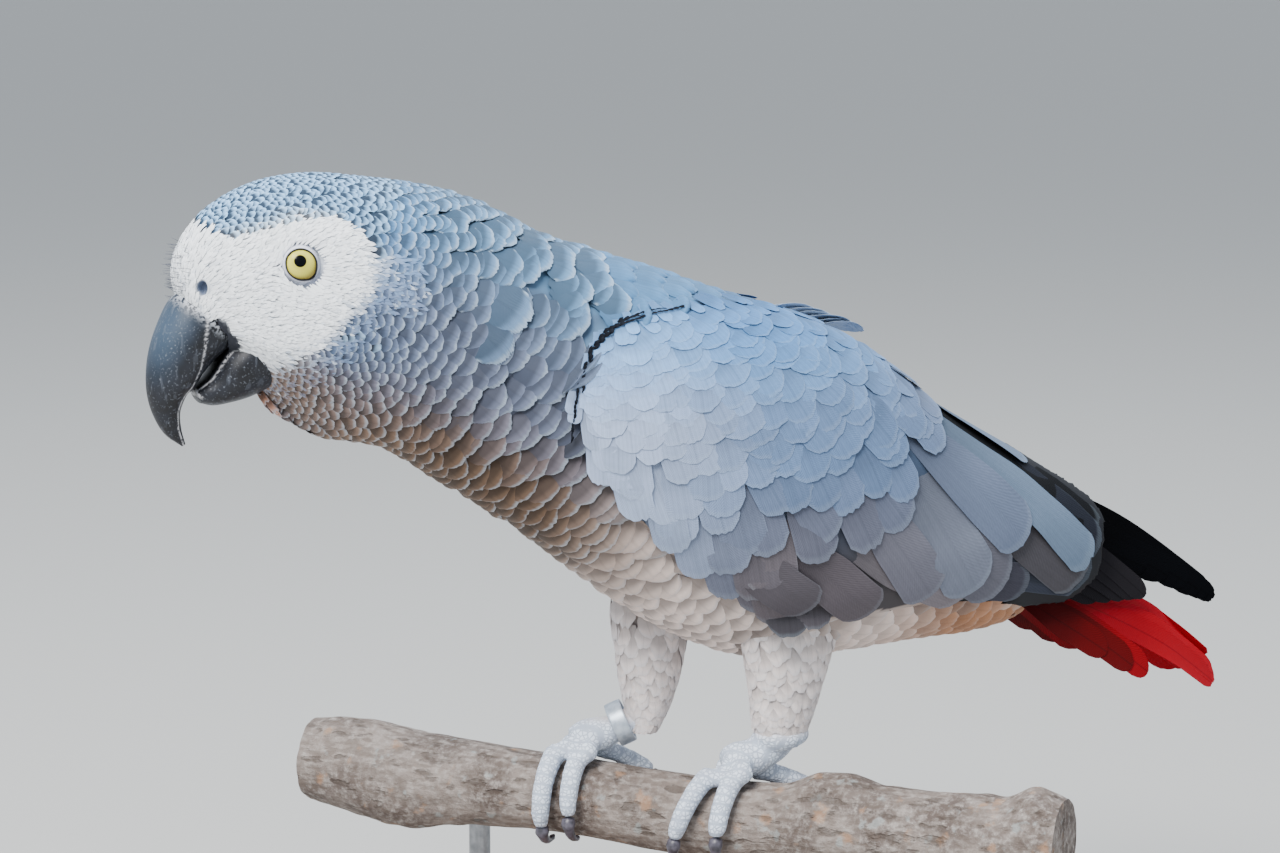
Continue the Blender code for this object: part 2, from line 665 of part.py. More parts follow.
def build_leg_ring(parts, looks):
    """The closed identity ring round the right shank."""
    row = resample(SHANK_RIGHT, [RING_PLACE])[0]
    ahead = resample(SHANK_RIGHT, [RING_PLACE + 0.2])[0][:3] - row[:3]
    axis = ahead / np.linalg.norm(ahead)
    inner = row[3] + GAP + 0.15
    outline = ((inner, -0.5), (inner, 0.5), (inner + RING_WALL, 0.5), (inner + RING_WALL, -0.5))
    rings = []
    for radius, end in outline:
        rings.append(round_section(row[:3] + axis * RING_WIDTH * end, axis, (radius, radius), 20))
    size = len(rings[0])
    faces = []
    for r in range(4):
        for k in range(size):
            beside = (k + 1) % size
            onward = (r + 1) % 4 * size
            faces.append((r * size + k, r * size + beside, onward + beside, onward + k))
    mesh_object("leg_ring", np.vstack(rings), faces, looks["metal"], parts)


def main():
    clear_scene()
    parts = collection("grey_parrot")
    cutters = collection("cutters", hidden=True)
    looks = {
        "plumage": material("pale_grey_feather", (0.42, 0.46, 0.52), 0.8),
        "wing": material("wing_grey_feather", (0.33, 0.36, 0.42), 0.75),
        "primaries": material("charcoal_feather", (0.02, 0.022, 0.03), 0.6),
        "tail": material("scarlet_feather", (0.55, 0.005, 0.01), 0.65),
        "thigh": material("cream_feather", (0.62, 0.58, 0.54), 0.85),
        "skin": material("grey_scaled_skin", (0.42, 0.45, 0.49), 0.7),
        "horn": material("black_horn", (0.02, 0.021, 0.025), 0.4),
        "claw": material("dark_claw", (0.03, 0.028, 0.03), 0.45),
        "eye": material("yellow_eye", (0.6, 0.55, 0.15), 0.1),
        "bark": material("brown_bark", (0.28, 0.2, 0.14), 0.9),
        "base": material("dark_wood", (0.05, 0.03, 0.02), 0.5),
        "metal": material("brushed_metal", (0.5, 0.5, 0.48), 0.35, 1.0),
    }
    head = build_body(parts, cutters, looks)
    build_bill(parts, cutters, looks, head)
    build_wings(parts, looks)
    build_tail(parts, cutters, looks)
    build_legs(parts, cutters, looks)
    build_leg_ring(parts, looks)
    build_perch(parts, cutters, looks)
    build_stand(parts, cutters, looks)
    for cutter in cutters.objects:
        cutter.hide_render = True
        cutter.display_type = "WIRE"


main()
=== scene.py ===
"""A life-size grey parrot gripping a cut branch on a display stand: its skin, coat of
feathers, bill, eyes, feet and claws, the branch and the stand, made round the fixed frame.

Sizes and tables are in millimetres; MM turns them into metres.  The bird faces -X, its
left side is -Y, and the origin is the middle of the stand's underside.
"""

import json
import math

import bmesh
import bpy
import numpy as np
from mathutils import Matrix, Vector
from mathutils.bvhtree import BVHTree

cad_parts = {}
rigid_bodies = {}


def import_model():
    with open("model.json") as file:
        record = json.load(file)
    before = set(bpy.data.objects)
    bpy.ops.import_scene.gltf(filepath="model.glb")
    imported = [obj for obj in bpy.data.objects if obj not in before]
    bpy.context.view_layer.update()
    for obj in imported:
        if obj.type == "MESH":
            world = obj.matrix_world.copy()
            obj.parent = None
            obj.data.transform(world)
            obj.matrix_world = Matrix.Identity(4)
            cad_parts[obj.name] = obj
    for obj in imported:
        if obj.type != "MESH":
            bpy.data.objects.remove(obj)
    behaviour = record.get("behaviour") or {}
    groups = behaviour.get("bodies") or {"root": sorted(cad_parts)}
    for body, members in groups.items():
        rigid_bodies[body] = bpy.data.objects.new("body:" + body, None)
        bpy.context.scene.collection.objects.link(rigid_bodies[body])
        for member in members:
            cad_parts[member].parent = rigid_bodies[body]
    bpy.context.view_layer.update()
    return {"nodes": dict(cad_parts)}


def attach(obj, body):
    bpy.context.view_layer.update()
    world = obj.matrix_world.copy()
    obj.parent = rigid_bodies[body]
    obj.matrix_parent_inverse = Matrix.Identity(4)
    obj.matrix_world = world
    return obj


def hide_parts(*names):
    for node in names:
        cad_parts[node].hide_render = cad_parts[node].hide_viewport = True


for startup_object in list(bpy.data.objects):
    bpy.data.objects.remove(startup_object)
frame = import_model()
NODES = frame["nodes"]
MM = 0.001
SIDES = (("left", -1), ("right", 1))     # a side's name, and its sign along Y
TOES = ("inner", "middle", "hind", "outer")
RANDOM = np.random.default_rng(23)

# ------------------------------------------------------------------ driving dimensions
# Outline of the coat: stations down the body, each a plane across it
BODY = (
    # back x, z, front x, z, half width, widest, narrowing
    (-134.9, 223.5, -125.5, 210.5, 6.5, 0.50, 0.6),
    (-136.2, 232.0, -119.5, 204.5, 9.4, 0.52, 0.9),
    (-133.6, 239.8, -114.2, 199.8, 11.8, 0.54, 1.0),
    (-126.8, 247.1, -106.6, 192.2, 15.2, 0.55, 0.9),
    (-115.0, 253.0, -99.0, 187.4, 17.9, 0.55, 0.5),
    (-101.0, 255.0, -91.2, 185.6, 19.8, 0.55, 0.2),
    (-85.5, 253.6, -82.6, 183.4, 21.4, 0.54, 0.0),
    (-69.5, 251.0, -71.8, 176.8, 23.6, 0.53, 0.0),
    (-53.5, 245.8, -57.5, 167.6, 26.6, 0.52, 0.0),
    (-37.0, 237.2, -43.0, 157.8, 30.4, 0.50, 0.0),
    (-17.0, 231.0, -28.5, 146.4, 34.4, 0.50, 0.0),
    (8.0, 222.8, -9.0, 132.0, 37.2, 0.50, 0.0),
    (35.0, 213.2, 14.0, 121.0, 37.6, 0.50, 0.0),
    (56.0, 201.5, 38.0, 118.2, 34.4, 0.50, 0.0),
    (77.0, 186.0, 66.0, 119.6, 28.0, 0.50, 0.0),
    (94.5, 170.5, 90.0, 120.2, 19.5, 0.50, 0.0),
    (106.0, 156.0, 105.0, 123.4, 12.5, 0.50, 0.0),
    (110.0, 148.0, 109.5, 130.0, 7.5, 0.50, 0.0),
)
ROUNDNESS = 2.15                 # exponent of the sections: 2 is an ellipse
WING_BED = BODY[9:15] + (
    (99.0, 172.4, 92.5, 119.4, 21.9, 0.50, 0.0),
    (119.5, 160.4, 111.5, 121.0, 16.2, 0.50, 0.0),
    (137.0, 150.0, 131.0, 124.0, 11.5, 0.50, 0.0),
)
# The coat down the back, the sides and the underside: how far apart its rows are, and how
# wide a feather's shown part is
COAT = (
    # station, row step: back, side, underside, then shown width: back, side, underside
    (0.0, 1.5, 1.4, 1.4, 1.3, 1.4, 1.6),
    (2.0, 1.6, 1.5, 1.7, 1.35, 1.6, 2.2),
    (3.0, 1.6, 1.7, 2.0, 1.4, 1.9, 3.0),
    (4.0, 1.65, 1.9, 2.4, 1.5, 2.3, 4.0),
    (5.0, 1.75, 2.1, 2.8, 1.7, 2.6, 5.2),
    (6.0, 2.1, 2.4, 2.8, 2.4, 4.0, 7.2),
    (7.0, 2.6, 2.8, 2.9, 3.8, 6.6, 9.6),
    (8.0, 3.2, 3.2, 3.0, 6.0, 9.0, 11.5),
    (9.0, 3.8, 3.4, 3.1, 7.8, 10.2, 12.5),
    (11.0, 4.8, 4.0, 3.8, 7.8, 8.8, 9.0),
    (13.0, 5.6, 4.6, 4.6, 7.8, 8.4, 8.4),
    (17.0, 6.2, 6.0, 6.0, 8.0, 7.4, 7.4),
)
FACE_COAT = ((0.0, 0.9, 0.9, 0.9, 0.62, 0.62, 0.62), (17.0, 0.9, 0.9, 0.9, 0.62, 0.62, 0.62))
# Border of the white face, seen from the side: place along X, lower and upper height
FACE = (
    (-140.0, 150.0, 244.0),
    (-133.0, 150.0, 242.5),
    (-130.7, 150.0, 240.3),
    (-126.3, 150.0, 238.5),
    (-124.5, 205.0, 239.0),
    (-119.4, 207.5, 240.7),
    (-115.5, 209.0, 241.8),
    (-112.3, 211.0, 242.8),
    (-106.2, 213.0, 244.7),
    (-102.4, 218.0, 244.4),
    (-98.8, 221.5, 243.5),
    (-96.2, 224.5, 242.2),
    (-93.7, 227.5, 240.6),
    (-91.5, 230.5, 236.5),
    (-90.3, 233.0, 234.0),
)
EYE_PLACE = (-107.5, 13.1, 233.5)
EYE_RADIUS = 5.2
EYE_OPENING = 3.75
EYE_AIM = (-0.20, 0.945, 0.24)   # outwards, for the side that it is on
LID_AIM = (-0.10, 0.985, 0.06)
NOSTRIL = (-131.2, 9.0, 228.0)
NOSTRIL_RADII = (1.4, 2.4, 2.1)
# The dark bare corner where the bill opens, as spots seen from the side
GAPE_CORNER = (
    (-128.0, 9.8, 218.2),
    (-126.8, 9.8, 216.4),
    (-125.8, 9.8, 214.6),
    (-124.6, 9.8, 213.8),
    (-124.0, 9.8, 212.4),
)
UPPER_BILL = (
    # culmen x, z, cutting edge x, z, half width, widest
    (-131.8, 227.5, -118.8, 214.5, 8.6, 0.55),
    (-136.8, 224.6, -121.6, 212.6, 9.2, 0.56),
    (-140.3, 218.2, -126.4, 209.0, 8.9, 0.58),
    (-142.6, 211.6, -129.6, 205.6, 8.1, 0.60),
    (-143.5, 205.2, -131.6, 202.4, 6.9, 0.60),
    (-143.2, 199.6, -133.6, 200.4, 5.2, 0.56),
    (-141.6, 194.5, -135.2, 196.2, 3.4, 0.52),
    (-139.0, 190.3, -135.0, 191.8, 2.0, 0.50),
    (-134.9, 187.2, -134.0, 187.8, 0.5, 0.50),
)
LOWER_BILL = (
    # lower edge x, z, cutting edge x, z, half width, widest
    (-109.5, 202.6, -115.6, 217.4, 10.5, 0.60),
    (-113.8, 200.5, -119.8, 216.2, 10.4, 0.60),
    (-118.2, 198.8, -124.6, 211.2, 9.6, 0.56),
    (-122.8, 197.8, -128.0, 205.6, 7.6, 0.50),
    (-127.0, 197.3, -130.3, 203.2, 6.0, 0.48),
    (-130.2, 198.0, -131.9, 201.6, 4.2, 0.50),
)
# The pale line down the upper bill's side: height, then place along X
TOMIUM = (
    (186.0, -134.0),
    (192.0, -136.2),
    (196.6, -136.4),
    (199.4, -135.6),
    (201.2, -134.4),
    (203.8, -132.9),
    (207.5, -131.5),
    (213.0, -130.7),
    (218.8, -130.1),
)
# Tail: stations down its ridge x, z, half width, and how far its outer edge hangs below
TAIL = (
    (101.0, 137.0, 10.5, 11.5),
    (124.0, 131.2, 14.5, 14.5),
    (146.5, 123.9, 17.0, 20.5),
    (158.0, 115.4, 17.8, 21.5),
    (169.3, 105.2, 18.2, 22.0),
)
# Tips of half the tail's feathers, from the middle outwards: how far down the tail, and how
# far across it
TAIL_TIPS = ((1.00, 0.05), (0.97, 0.32), (0.88, 0.50), (0.385, 1.05), (0.33, 1.10), (0.25, 1.12))
PERCH_HEADING = math.radians(-45)
PERCH_HEIGHT = 78.2
PERCH_HALF_LENGTH = 109.8
# Where the wing feathers fan out from, above and before the shoulder
WING_FAN = (-45.0, 330.0)
# Rows of wing feathers: how far up the wing the tips are, from its rim to its upper front
# as a share, then length and shown width where the wing is 100 mm long
WING_ROWS = [(0.00, 38.0, 8.6), (0.14, 34.0, 8.4), (0.27, 29.0, 8.0), (0.38, 24.0, 7.8)] + [
    (inset, 7.5 + 24.0 * (0.99 - inset), 8.0) for inset in 0.475 + 0.515 * np.linspace(0, 1, 18) ** 0.85]
# Where the neck's coat ends on the front of the wing: place along X and height
CREASE = (
    (-42.0, 186.0),
    (-40.5, 198.0),
    (-38.0, 207.0),
    (-34.0, 212.6),
    (-27.0, 217.0),
    (-18.0, 218.8),
    (-8.0, 219.4),
)
# Where the large rear feathers of a wing start: by height, then place along X
REAR_FRONT = ((132, 16), (142, 20), (150, 26), (158, 46), (166, 58), (184, 63), (200, 62))
# and their upper rim: place along X, then height
REAR_TOP = (
    (62.7, 194.2),
    (75.4, 185.6),
    (84.6, 179.4),
    (95.0, 172.3),
    (104.8, 166.2),
    (116.3, 153.1),
    (121.0, 143.4),
)
# The large feathers at the rear of a folded wing, from the lowest layer to the topmost: root
# x, z, tip x, z, width, how far its tip is lifted, and its paint card colour
REAR_FEATHERS = (
    (38.0, 149.0, 96.0, 133.6, 12.0, 0.2, (60, 60, 70)),
    (58.0, 150.0, 118.6, 134.2, 13.0, 0.3, (50, 54, 66)),
    (64.0, 156.0, 120.4, 137.4, 13.0, 0.4, (40, 44, 54)),
    (58.0, 200.5, 123.4, 144.6, 12.0, 0.3, (6, 7, 11)),
    (70.0, 190.0, 122.0, 140.8, 13.0, 0.4, (26, 29, 38)),
    (76.0, 168.0, 119.6, 139.4, 19.0, 0.7, (70, 68, 73)),
    (44.0, 168.0, 88.0, 138.0, 18.0, 0.7, (92, 92, 102)),
    (28.0, 160.0, 74.5, 134.2, 14.0, 0.6, (122, 116, 122)),
    (14.0, 160.0, 43.0, 132.6, 14.0, 0.8, (94, 88, 94)),
    (-2.0, 158.0, 24.0, 137.5, 13.0, 0.8, (82, 78, 84)),
    (36.0, 172.0, 62.5, 138.8, 15.0, 1.0, (110, 110, 122)),
    (50.0, 177.0, 79.0, 138.4, 18.0, 1.4, (116, 122, 138)),
    (50.0, 190.0, 94.5, 153.0, 17.0, 1.6, (98, 109, 131)),
    (58.0, 194.5, 121.0, 142.0, 12.5, 1.7, (98, 115, 136)),
    (60.0, 198.6, 100.5, 168.6, 7.0, 0.9, (98, 112, 132)),
)
# Thighs: middle x, y, z, half length and half width, from the top down to the heel
THIGHS = {
    "left": (
        (28.0, -17.5, 147.0, 15.8, 8.0),
        (27.2, -17.5, 133.0, 15.2, 8.0),
        (26.6, -17.0, 121.5, 12.6, 7.8),
        (25.9, -16.5, 111.0, 10.0, 7.2),
        (25.2, -16.0, 103.5, 8.3, 6.4),
        (25.2, -15.6, 98.6, 6.6, 5.4),
    ),
    "right": (
        (2.0, 16.5, 147.0, 13.6, 8.0),
        (1.0, 16.5, 133.0, 12.6, 8.0),
        (0.2, 15.5, 122.0, 10.6, 7.8),
        (-0.8, 14.0, 112.5, 8.8, 7.2),
        (-1.6, 13.0, 106.5, 7.2, 6.2),
        (-2.6, 12.4, 101.0, 5.2, 5.0),
        (-3.8, 11.8, 97.8, 4.2, 4.4),
    ),
}
# The long dark feathers behind each wing
PRIMARIES = {
    "left": (
        # root x, z, tip x, z, width
        (92, 141, 128, 128.6, 9.0),
        (94, 144, 133, 127.8, 8.6),
        (98, 147, 137.5, 127.2, 8.0),
        (100, 151, 141.0, 126.8, 7.4),
        (104, 155, 143.4, 126.6, 6.4),
    ),
    "right": (
        (98, 145, 155, 130.6, 9.0),
        (100, 149, 162, 127.4, 9.0),
        (102, 153, 168, 124.4, 8.6),
        (104, 156, 172, 122.0, 8.0),
        (106, 159, 174.8, 120.8, 7.2),
        (108, 161, 176.6, 119.8, 6.0),
    ),
}
# How far the parts of the skin are grown before they are joined, so that they meet: it is taken
# off again afterwards. Feet and toes are drawn in a little instead.
SKIN_GROWTH = 0.7
TOE_GROWTH = -0.25
SKIN_CELL = 0.00115              # the skin's grain, in metres
FLESH = ["head", "neck", "trunk", "thigh_left", "thigh_right", "foot_left", "foot_right"] + [
    f"toe_{toe}_{side}" for toe in TOES for side, _ in SIDES]
# The studio, in metres. Lamps: name, place, size, power in watts, colour
LAMPS = (
    ("key", (-0.75, -0.60, 1.20), 0.6, 38.0, (1.0, 0.98, 0.95)),
    ("top", (0.25, 0.25, 1.5), 1.1, 21.0, (0.90, 0.95, 1.0)),
)
LAMP_AIM = (0, 0, 0.17)
FLOOR_HALF = 30
CAMERA_AIM = (-0.0095, 0, 0.1845)
CAMERA_DISTANCE = 0.855
CAMERA_TURN = math.radians(-23)
CAMERA_RISE = math.radians(9)


def srgb(red, green, blue):
    """A colour given as on a paint card, 0 to 255, as the linear colour that shaders use."""
    card = np.array([red, green, blue]) / 255
    return tuple(np.where(card <= 0.04045, card / 12.92, ((card + 0.055) / 1.055) ** 2.4))


WHITE = srgb(247, 251, 255)
SKY_GREY = srgb(97, 155, 212)
SLATE = srgb(108, 153, 194)
DUSK = srgb(118, 130, 158)
TAUPE = srgb(146, 118, 98)
BROWN = srgb(124, 98, 78)
CREAM = srgb(244, 225, 216)
IVORY = srgb(232, 222, 220)
PEACH = srgb(182, 126, 86)
WING_PALE = srgb(158, 174, 204)
WING_MID = srgb(94, 119, 155)
WING_REAR = srgb(98, 107, 129)
WING_LOW = srgb(97, 91, 97)
WING_SHADE = srgb(62, 60, 66)
COAL = srgb(4, 5, 8)
SCARLET = srgb(152, 0, 20)
DEEP_RED = srgb(76, 1, 3)
BARE_SKIN = srgb(228, 240, 255)
SALMON = srgb(214, 158, 134)


# ------------------------------------------------------------------ shading
class Shade:
    """A node's output; arithmetic on it adds the nodes that work the sum out."""

    def __init__(self, look, socket):
        self.look, self.socket = look, socket

    def sum_of(self, operation, first, second):
        return self.look.node("ShaderNodeMath", {"operation": operation}, {0: first, 1: second})

    def __add__(self, other):
        return self.sum_of("ADD", self, other)

    def __radd__(self, other):
        return self.sum_of("ADD", other, self)

    def __sub__(self, other):
        return self.sum_of("SUBTRACT", self, other)

    def __rsub__(self, other):
        return self.sum_of("SUBTRACT", other, self)

    def __mul__(self, other):
        return self.sum_of("MULTIPLY", self, other)

    def __rmul__(self, other):
        return self.sum_of("MULTIPLY", other, self)

    def __truediv__(self, other):
        return self.sum_of("DIVIDE", self, other)

    def __pow__(self, other):
        return self.sum_of("POWER", self, other)


class Look:
    """A material in the making: one Principled shader and what feeds it."""

    def __init__(self, name):
        self.material = bpy.data.materials.new(name)
        self.material.use_nodes = True
        self.tree = self.material.node_tree
        self.shader = self.tree.nodes["Principled BSDF"]

    def node(self, kind, settings=None, values=None, output=0):
        """Adds a node of a type: first its settings, then the values or links of its sockets."""
        made = self.tree.nodes.new(kind)
        for name, value in (settings or {}).items():
            setattr(made, name, value)
        for name, value in (values or {}).items():
            self.feed(made.inputs[name], value)
        return Shade(self, made.outputs[output])

    def feed(self, socket, value):
        """Links a socket to a shading value, or sets it to a plain one."""
        if isinstance(value, Shade):
            self.tree.links.new(value.socket, socket)
        elif isinstance(value, (tuple, list, np.ndarray)) and socket.type == "RGBA":
            socket.default_value = (*value[:3], 1.0)
        else:
            socket.default_value = value

    def put(self, **values):
        """Feeds the shader's own sockets; a socket's name is written with _ for its spaces."""
        for name, value in values.items():
            self.feed(self.shader.inputs[name.replace("_", " ")], value)
        return self.material

    def place(self):
        """The point being shaded, in metres."""
        return self.node("ShaderNodeTexCoord", output="Object")

    def kept(self, name):
        """Three numbers kept with each point of the mesh, as separate values."""
        vector = self.node("ShaderNodeAttribute", {"attribute_name": name}, output="Vector")
        return [self.node("ShaderNodeSeparateXYZ", None, {0: vector}, output=k) for k in range(3)]

    def tint(self, name):
        """A colour kept with each point of the mesh."""
        return self.node("ShaderNodeAttribute", {"attribute_name": name}, output="Color")

    def mix(self, share, first, second):
        """The first colour, changed to the second by a share from 0 to 1."""
        return self.node("ShaderNodeMix", {"data_type": "RGBA"}, {0: share, 6: first, 7: second}, output=2)

    def scaled(self, colour, share):
        """A colour made darker or lighter by a value."""
        grey = self.node("ShaderNodeCombineXYZ", None, {0: share, 1: share, 2: share})
        return self.node("ShaderNodeMix", {"data_type": "RGBA", "blend_type": "MULTIPLY"},
                         {0: 1.0, 6: colour, 7: grey}, output=2)

    def step(self, value, low, high):
        """0 below low, 1 above high, soft between them."""
        return self.node("ShaderNodeMapRange", {"interpolation_type": "SMOOTHSTEP"},
                         {"Value": value, "From Min": low, "From Max": high})

    def noise(self, size, detail=3.0, stretch=None, where=None, roughness=0.5):
        """Cloudy variation about 0.5 whose blotches are about that many millimetres."""
        where = where or self.place()
        if stretch:
            where = self.node("ShaderNodeVectorMath", {"operation": "MULTIPLY"}, {0: where, 1: stretch})
        return self.node("ShaderNodeTexNoise", None, {
            "Vector": where, "Scale": 1 / (size * MM), "Detail": detail, "Roughness": roughness})

    def plates(self, size, randomness):
        """Distances to the edges between many plates of that size in millimetres."""
        return self.node("ShaderNodeTexVoronoi", {"feature": "DISTANCE_TO_EDGE"}, {
            "Vector": self.place(), "Scale": 1 / (size * MM), "Randomness": randomness})

    def wave(self, value):
        """A sine of a value, from -1 to 1."""
        return self.node("ShaderNodeMath", {"operation": "SINE"}, {0: value})

    def bump(self, height, depth):
        """A relief of that depth in millimetres."""
        return self.node("ShaderNodeBump", None, {"Height": height, "Distance": depth * MM, "Strength": 1.0})


# ------------------------------------------------------------------ surfaces
def smooth(low, high, value):
    """0 below low, 1 above high, soft between them."""
    t = np.clip((np.asarray(value, float) - low) / (high - low), 0, 1)
    return t * t * (3 - 2 * t)


def unit(vectors):
    return vectors / np.maximum(np.linalg.norm(vectors, axis=-1, keepdims=True), 1e-12)


def dot(first, second):
    return np.sum(first * second, axis=-1, keepdims=True)


def mixed(share, first, second):
    """Between two values or colours, by a share for each point."""
    share = np.asarray(share, float)[..., None]
    return (1 - share) * np.asarray(first) + share * np.asarray(second)


def resample(rows, places):
    """A table's columns at fractional places between its rows, on a smooth curve."""
    table = np.array(rows, float)
    padded = np.vstack([2 * table[0] - table[1], table, 2 * table[-1] - table[-2]])
    places = np.clip(np.asarray(places, float), 0, len(table) - 1)
    index = np.minimum(places.astype(int), len(table) - 2)
    t = (places - index)[..., None]
    a, b, c, d = (padded[index + k] for k in range(4))
    bend = (2 * a - 5 * b + 4 * c - d) * t**2 + (3 * b - a - 3 * c + d) * t**3
    return 0.5 * (2 * b + (c - a) * t + bend)


def look_up(rows, places):
    """A table's columns at values of its first column, on straight lines."""
    table = np.array(rows, float)
    return np.stack([np.interp(places, table[:, 0], column) for column in table.T[1:]], axis=-1)


def sections(rows, stations, angles):
    """Points in metres on the outlines of a body given by stations: angles start at the
    back and run round by the left side."""
    values = resample(rows, stations)
    if values.shape[1] < 7:
        values = np.hstack([values, np.zeros((len(values), 7 - values.shape[1]))])
    back, front = values[:, 0:2], values[:, 2:4]
    width, widest, narrowing = (values[:, k][:, None] for k in (4, 5, 6))
    depth = np.linalg.norm(front - back, axis=1)[:, None]
    down = (front - back) / depth
    centre = back + down * depth * widest
    cosine, sine = np.cos(angles)[None], np.sin(angles)[None]
    power = 2 / ROUNDNESS
    reach = np.where(cosine > 0, depth * widest, depth * (1 - widest))
    along = -np.sign(cosine) * np.abs(cosine) ** power * reach
    low = np.clip(along / reach, 0, 1)
    aside = -np.sign(sine) * np.abs(sine) ** power * width * (1 - narrowing * low**2)
    points = np.stack([
        centre[:, :1] + down[:, :1] * along, aside, centre[:, 1:] + down[:, 1:] * along], axis=-1)
    return points * MM


def blurred(grid, times, around):
    """A grid of points with its small unevenness smoothed away."""
    for _ in range(times):
        ends = np.concatenate([grid[:1], grid, grid[-1:]])
        grid = (ends[:-2] + 2 * grid + ends[2:]) / 4
        if around:
            grid = (np.roll(grid, 1, 1) + 2 * grid + np.roll(grid, -1, 1)) / 4
        else:
            ends = np.concatenate([grid[:, :1], grid, grid[:, -1:]], axis=1)
            grid = (ends[:, :-2] + 2 * grid + ends[:, 2:]) / 4
    return grid


def filled(values):
    """A grid whose gaps are filled outwards from their neighbours."""
    values = values.copy()
    while np.isnan(values).any():
        padded = np.pad(values, 1, constant_values=np.nan)
        beside = np.stack([padded[:-2, 1:-1], padded[2:, 1:-1], padded[1:-1, :-2], padded[1:-1, 2:]])
        known = ~np.isnan(beside)
        total, count = np.where(known, beside, 0).sum(0), known.sum(0)
        here = np.isnan(values) & (count > 0)
        values[here] = total[here] / count[here]
    return values


class Sheet:
    """A smooth surface of points over two coordinates; the second may run all the way round."""

    def __init__(self, grid, first, second, around=False, outward=1):
        self.grid, self.first, self.second, self.around = grid, first, second, around
        self.outward = outward

    def at(self, u, v):
        """Points at coordinates."""
        rows, columns = self.grid.shape[:2]
        a = (u - self.first[0]) / (self.first[1] - self.first[0]) * (rows - 1)
        a = np.clip(a, 0, rows - 1.001)
        span = columns if self.around else columns - 1
        b = (v - self.second[0]) / (self.second[1] - self.second[0]) * span
        b = b % columns if self.around else np.clip(b, 0, columns - 1.001)
        i, j = a.astype(int), b.astype(int) % columns
        s, t = (a - i)[:, None], (b - b.astype(int))[:, None]
        beyond = (j + 1) % columns
        near = self.grid[i, j] * (1 - t) + self.grid[i, beyond] * t
        far = self.grid[i + 1, j] * (1 - t) + self.grid[i + 1, beyond] * t
        return near * (1 - s) + far * s

    def frame(self, u, v):
        """Points, how they change along each coordinate, and outward normals."""
        du = (self.first[1] - self.first[0]) / self.grid.shape[0]
        dv = (self.second[1] - self.second[0]) / self.grid.shape[1]
        along = (self.at(u + du, v) - self.at(u - du, v)) / (2 * du)
        across = (self.at(u, v + dv) - self.at(u, v - dv)) / (2 * dv)
        normal = unit(np.cross(across, along)) * self.outward
        return self.at(u, v), along, across, normal

    def patch(self, u, v):
        """Where coordinates lie on the flat layout of the skin."""
        flat = [(c - r[0]) / (r[1] - r[0]) for c, r in ((u, self.first), (v, self.second))]
        return np.clip(np.stack(flat, axis=-1), 0, 1) * 0.96 + 0.02


def search_tree(names):
    """Frame nodes, ready for finding where straight lines meet them."""
    points, faces = [], []
    for name in names:
        mesh = NODES[name].data
        start = len(points)
        points += [v.co.copy() for v in mesh.vertices]
        faces += [[start + k for k in p.vertices] for p in mesh.polygons]
    return BVHTree.FromPolygons(points, faces)


def reach_of(tree, starts, directions, limit):
    """How far lines run before they meet the nodes, nan where they miss."""
    shape = starts.shape[:-1]
    found = np.full(int(np.prod(shape)), np.nan)
    lines = zip(starts.reshape(-1, 3), np.broadcast_to(directions, starts.shape).reshape(-1, 3))
    for k, (start, direction) in enumerate(lines):
        distance = tree.ray_cast(Vector(start), Vector(direction), limit)[3]
        if distance is not None:
            found[k] = distance
    return found.reshape(shape)


# ------------------------------------------------------------------ meshes
def mesh_piece(name, points, faces, look, replaces=()):
    """A piece of the model from points in metres and faces that all have four corners."""
    mesh = bpy.data.meshes.new(name)
    mesh.vertices.add(len(points))
    mesh.vertices.foreach_set("co", np.ascontiguousarray(points, np.float32).ravel())
    mesh.loops.add(faces.size)
    mesh.loops.foreach_set("vertex_index", np.ascontiguousarray(faces, np.int32).ravel())
    mesh.polygons.add(len(faces))
    mesh.polygons.foreach_set("loop_start", np.arange(0, faces.size, faces.shape[1], dtype=np.int32))
    mesh.update(calc_edges=True)
    return piece_of(name, mesh, look, replaces)


def piece_of(name, mesh, look, replaces=()):
    """An object of the model from its finished mesh."""
    mesh.materials.clear()
    mesh.materials.append(look)
    mesh.shade_smooth()
    made = bpy.data.objects.new(name, mesh)
    bpy.context.scene.collection.objects.link(made)
    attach(made, "root")
    if replaces:
        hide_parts(*replaces)
    return made


def keep(mesh, name, values, kind="FLOAT_VECTOR"):
    """Stores three numbers, or a colour, with each point of a mesh."""
    if kind == "FLOAT_COLOR":
        values = np.hstack([values, np.ones((len(values), 1))])
    stored = mesh.attributes.new(name, kind, "POINT")
    field = "color" if kind == "FLOAT_COLOR" else "vector"
    stored.data.foreach_set(field, np.ascontiguousarray(values, np.float32).ravel())


def grid_faces(rows, columns, around=False):
    """Four-cornered faces over a grid of points."""
    r = np.arange(rows - 1)[:, None]
    c = np.arange(columns if around else columns - 1)[None]
    beyond = (c + 1) % columns
    corners = (r * columns + c, r * columns + beyond, (r + 1) * columns + beyond, (r + 1) * columns + c)
    return np.stack([np.broadcast_to(k, (rows - 1, c.shape[1])) for k in corners], axis=-1).reshape(-1, 4)


def vane_faces(rows, columns):
    """Faces of one thin closed vane: its upper grid, its lower grid and the rim between."""
    top = grid_faces(rows, columns)
    size = rows * columns
    rim = np.concatenate([
        np.arange(columns),
        np.arange(1, rows) * columns + columns - 1,
        size - 2 - np.arange(columns - 1),
        np.arange(rows - 2, 0, -1) * columns])
    beyond = np.roll(rim, -1)
    sides = np.stack([rim, beyond, beyond + size, rim + size], axis=-1)
    return np.concatenate([top[:, ::-1], top + size, sides])


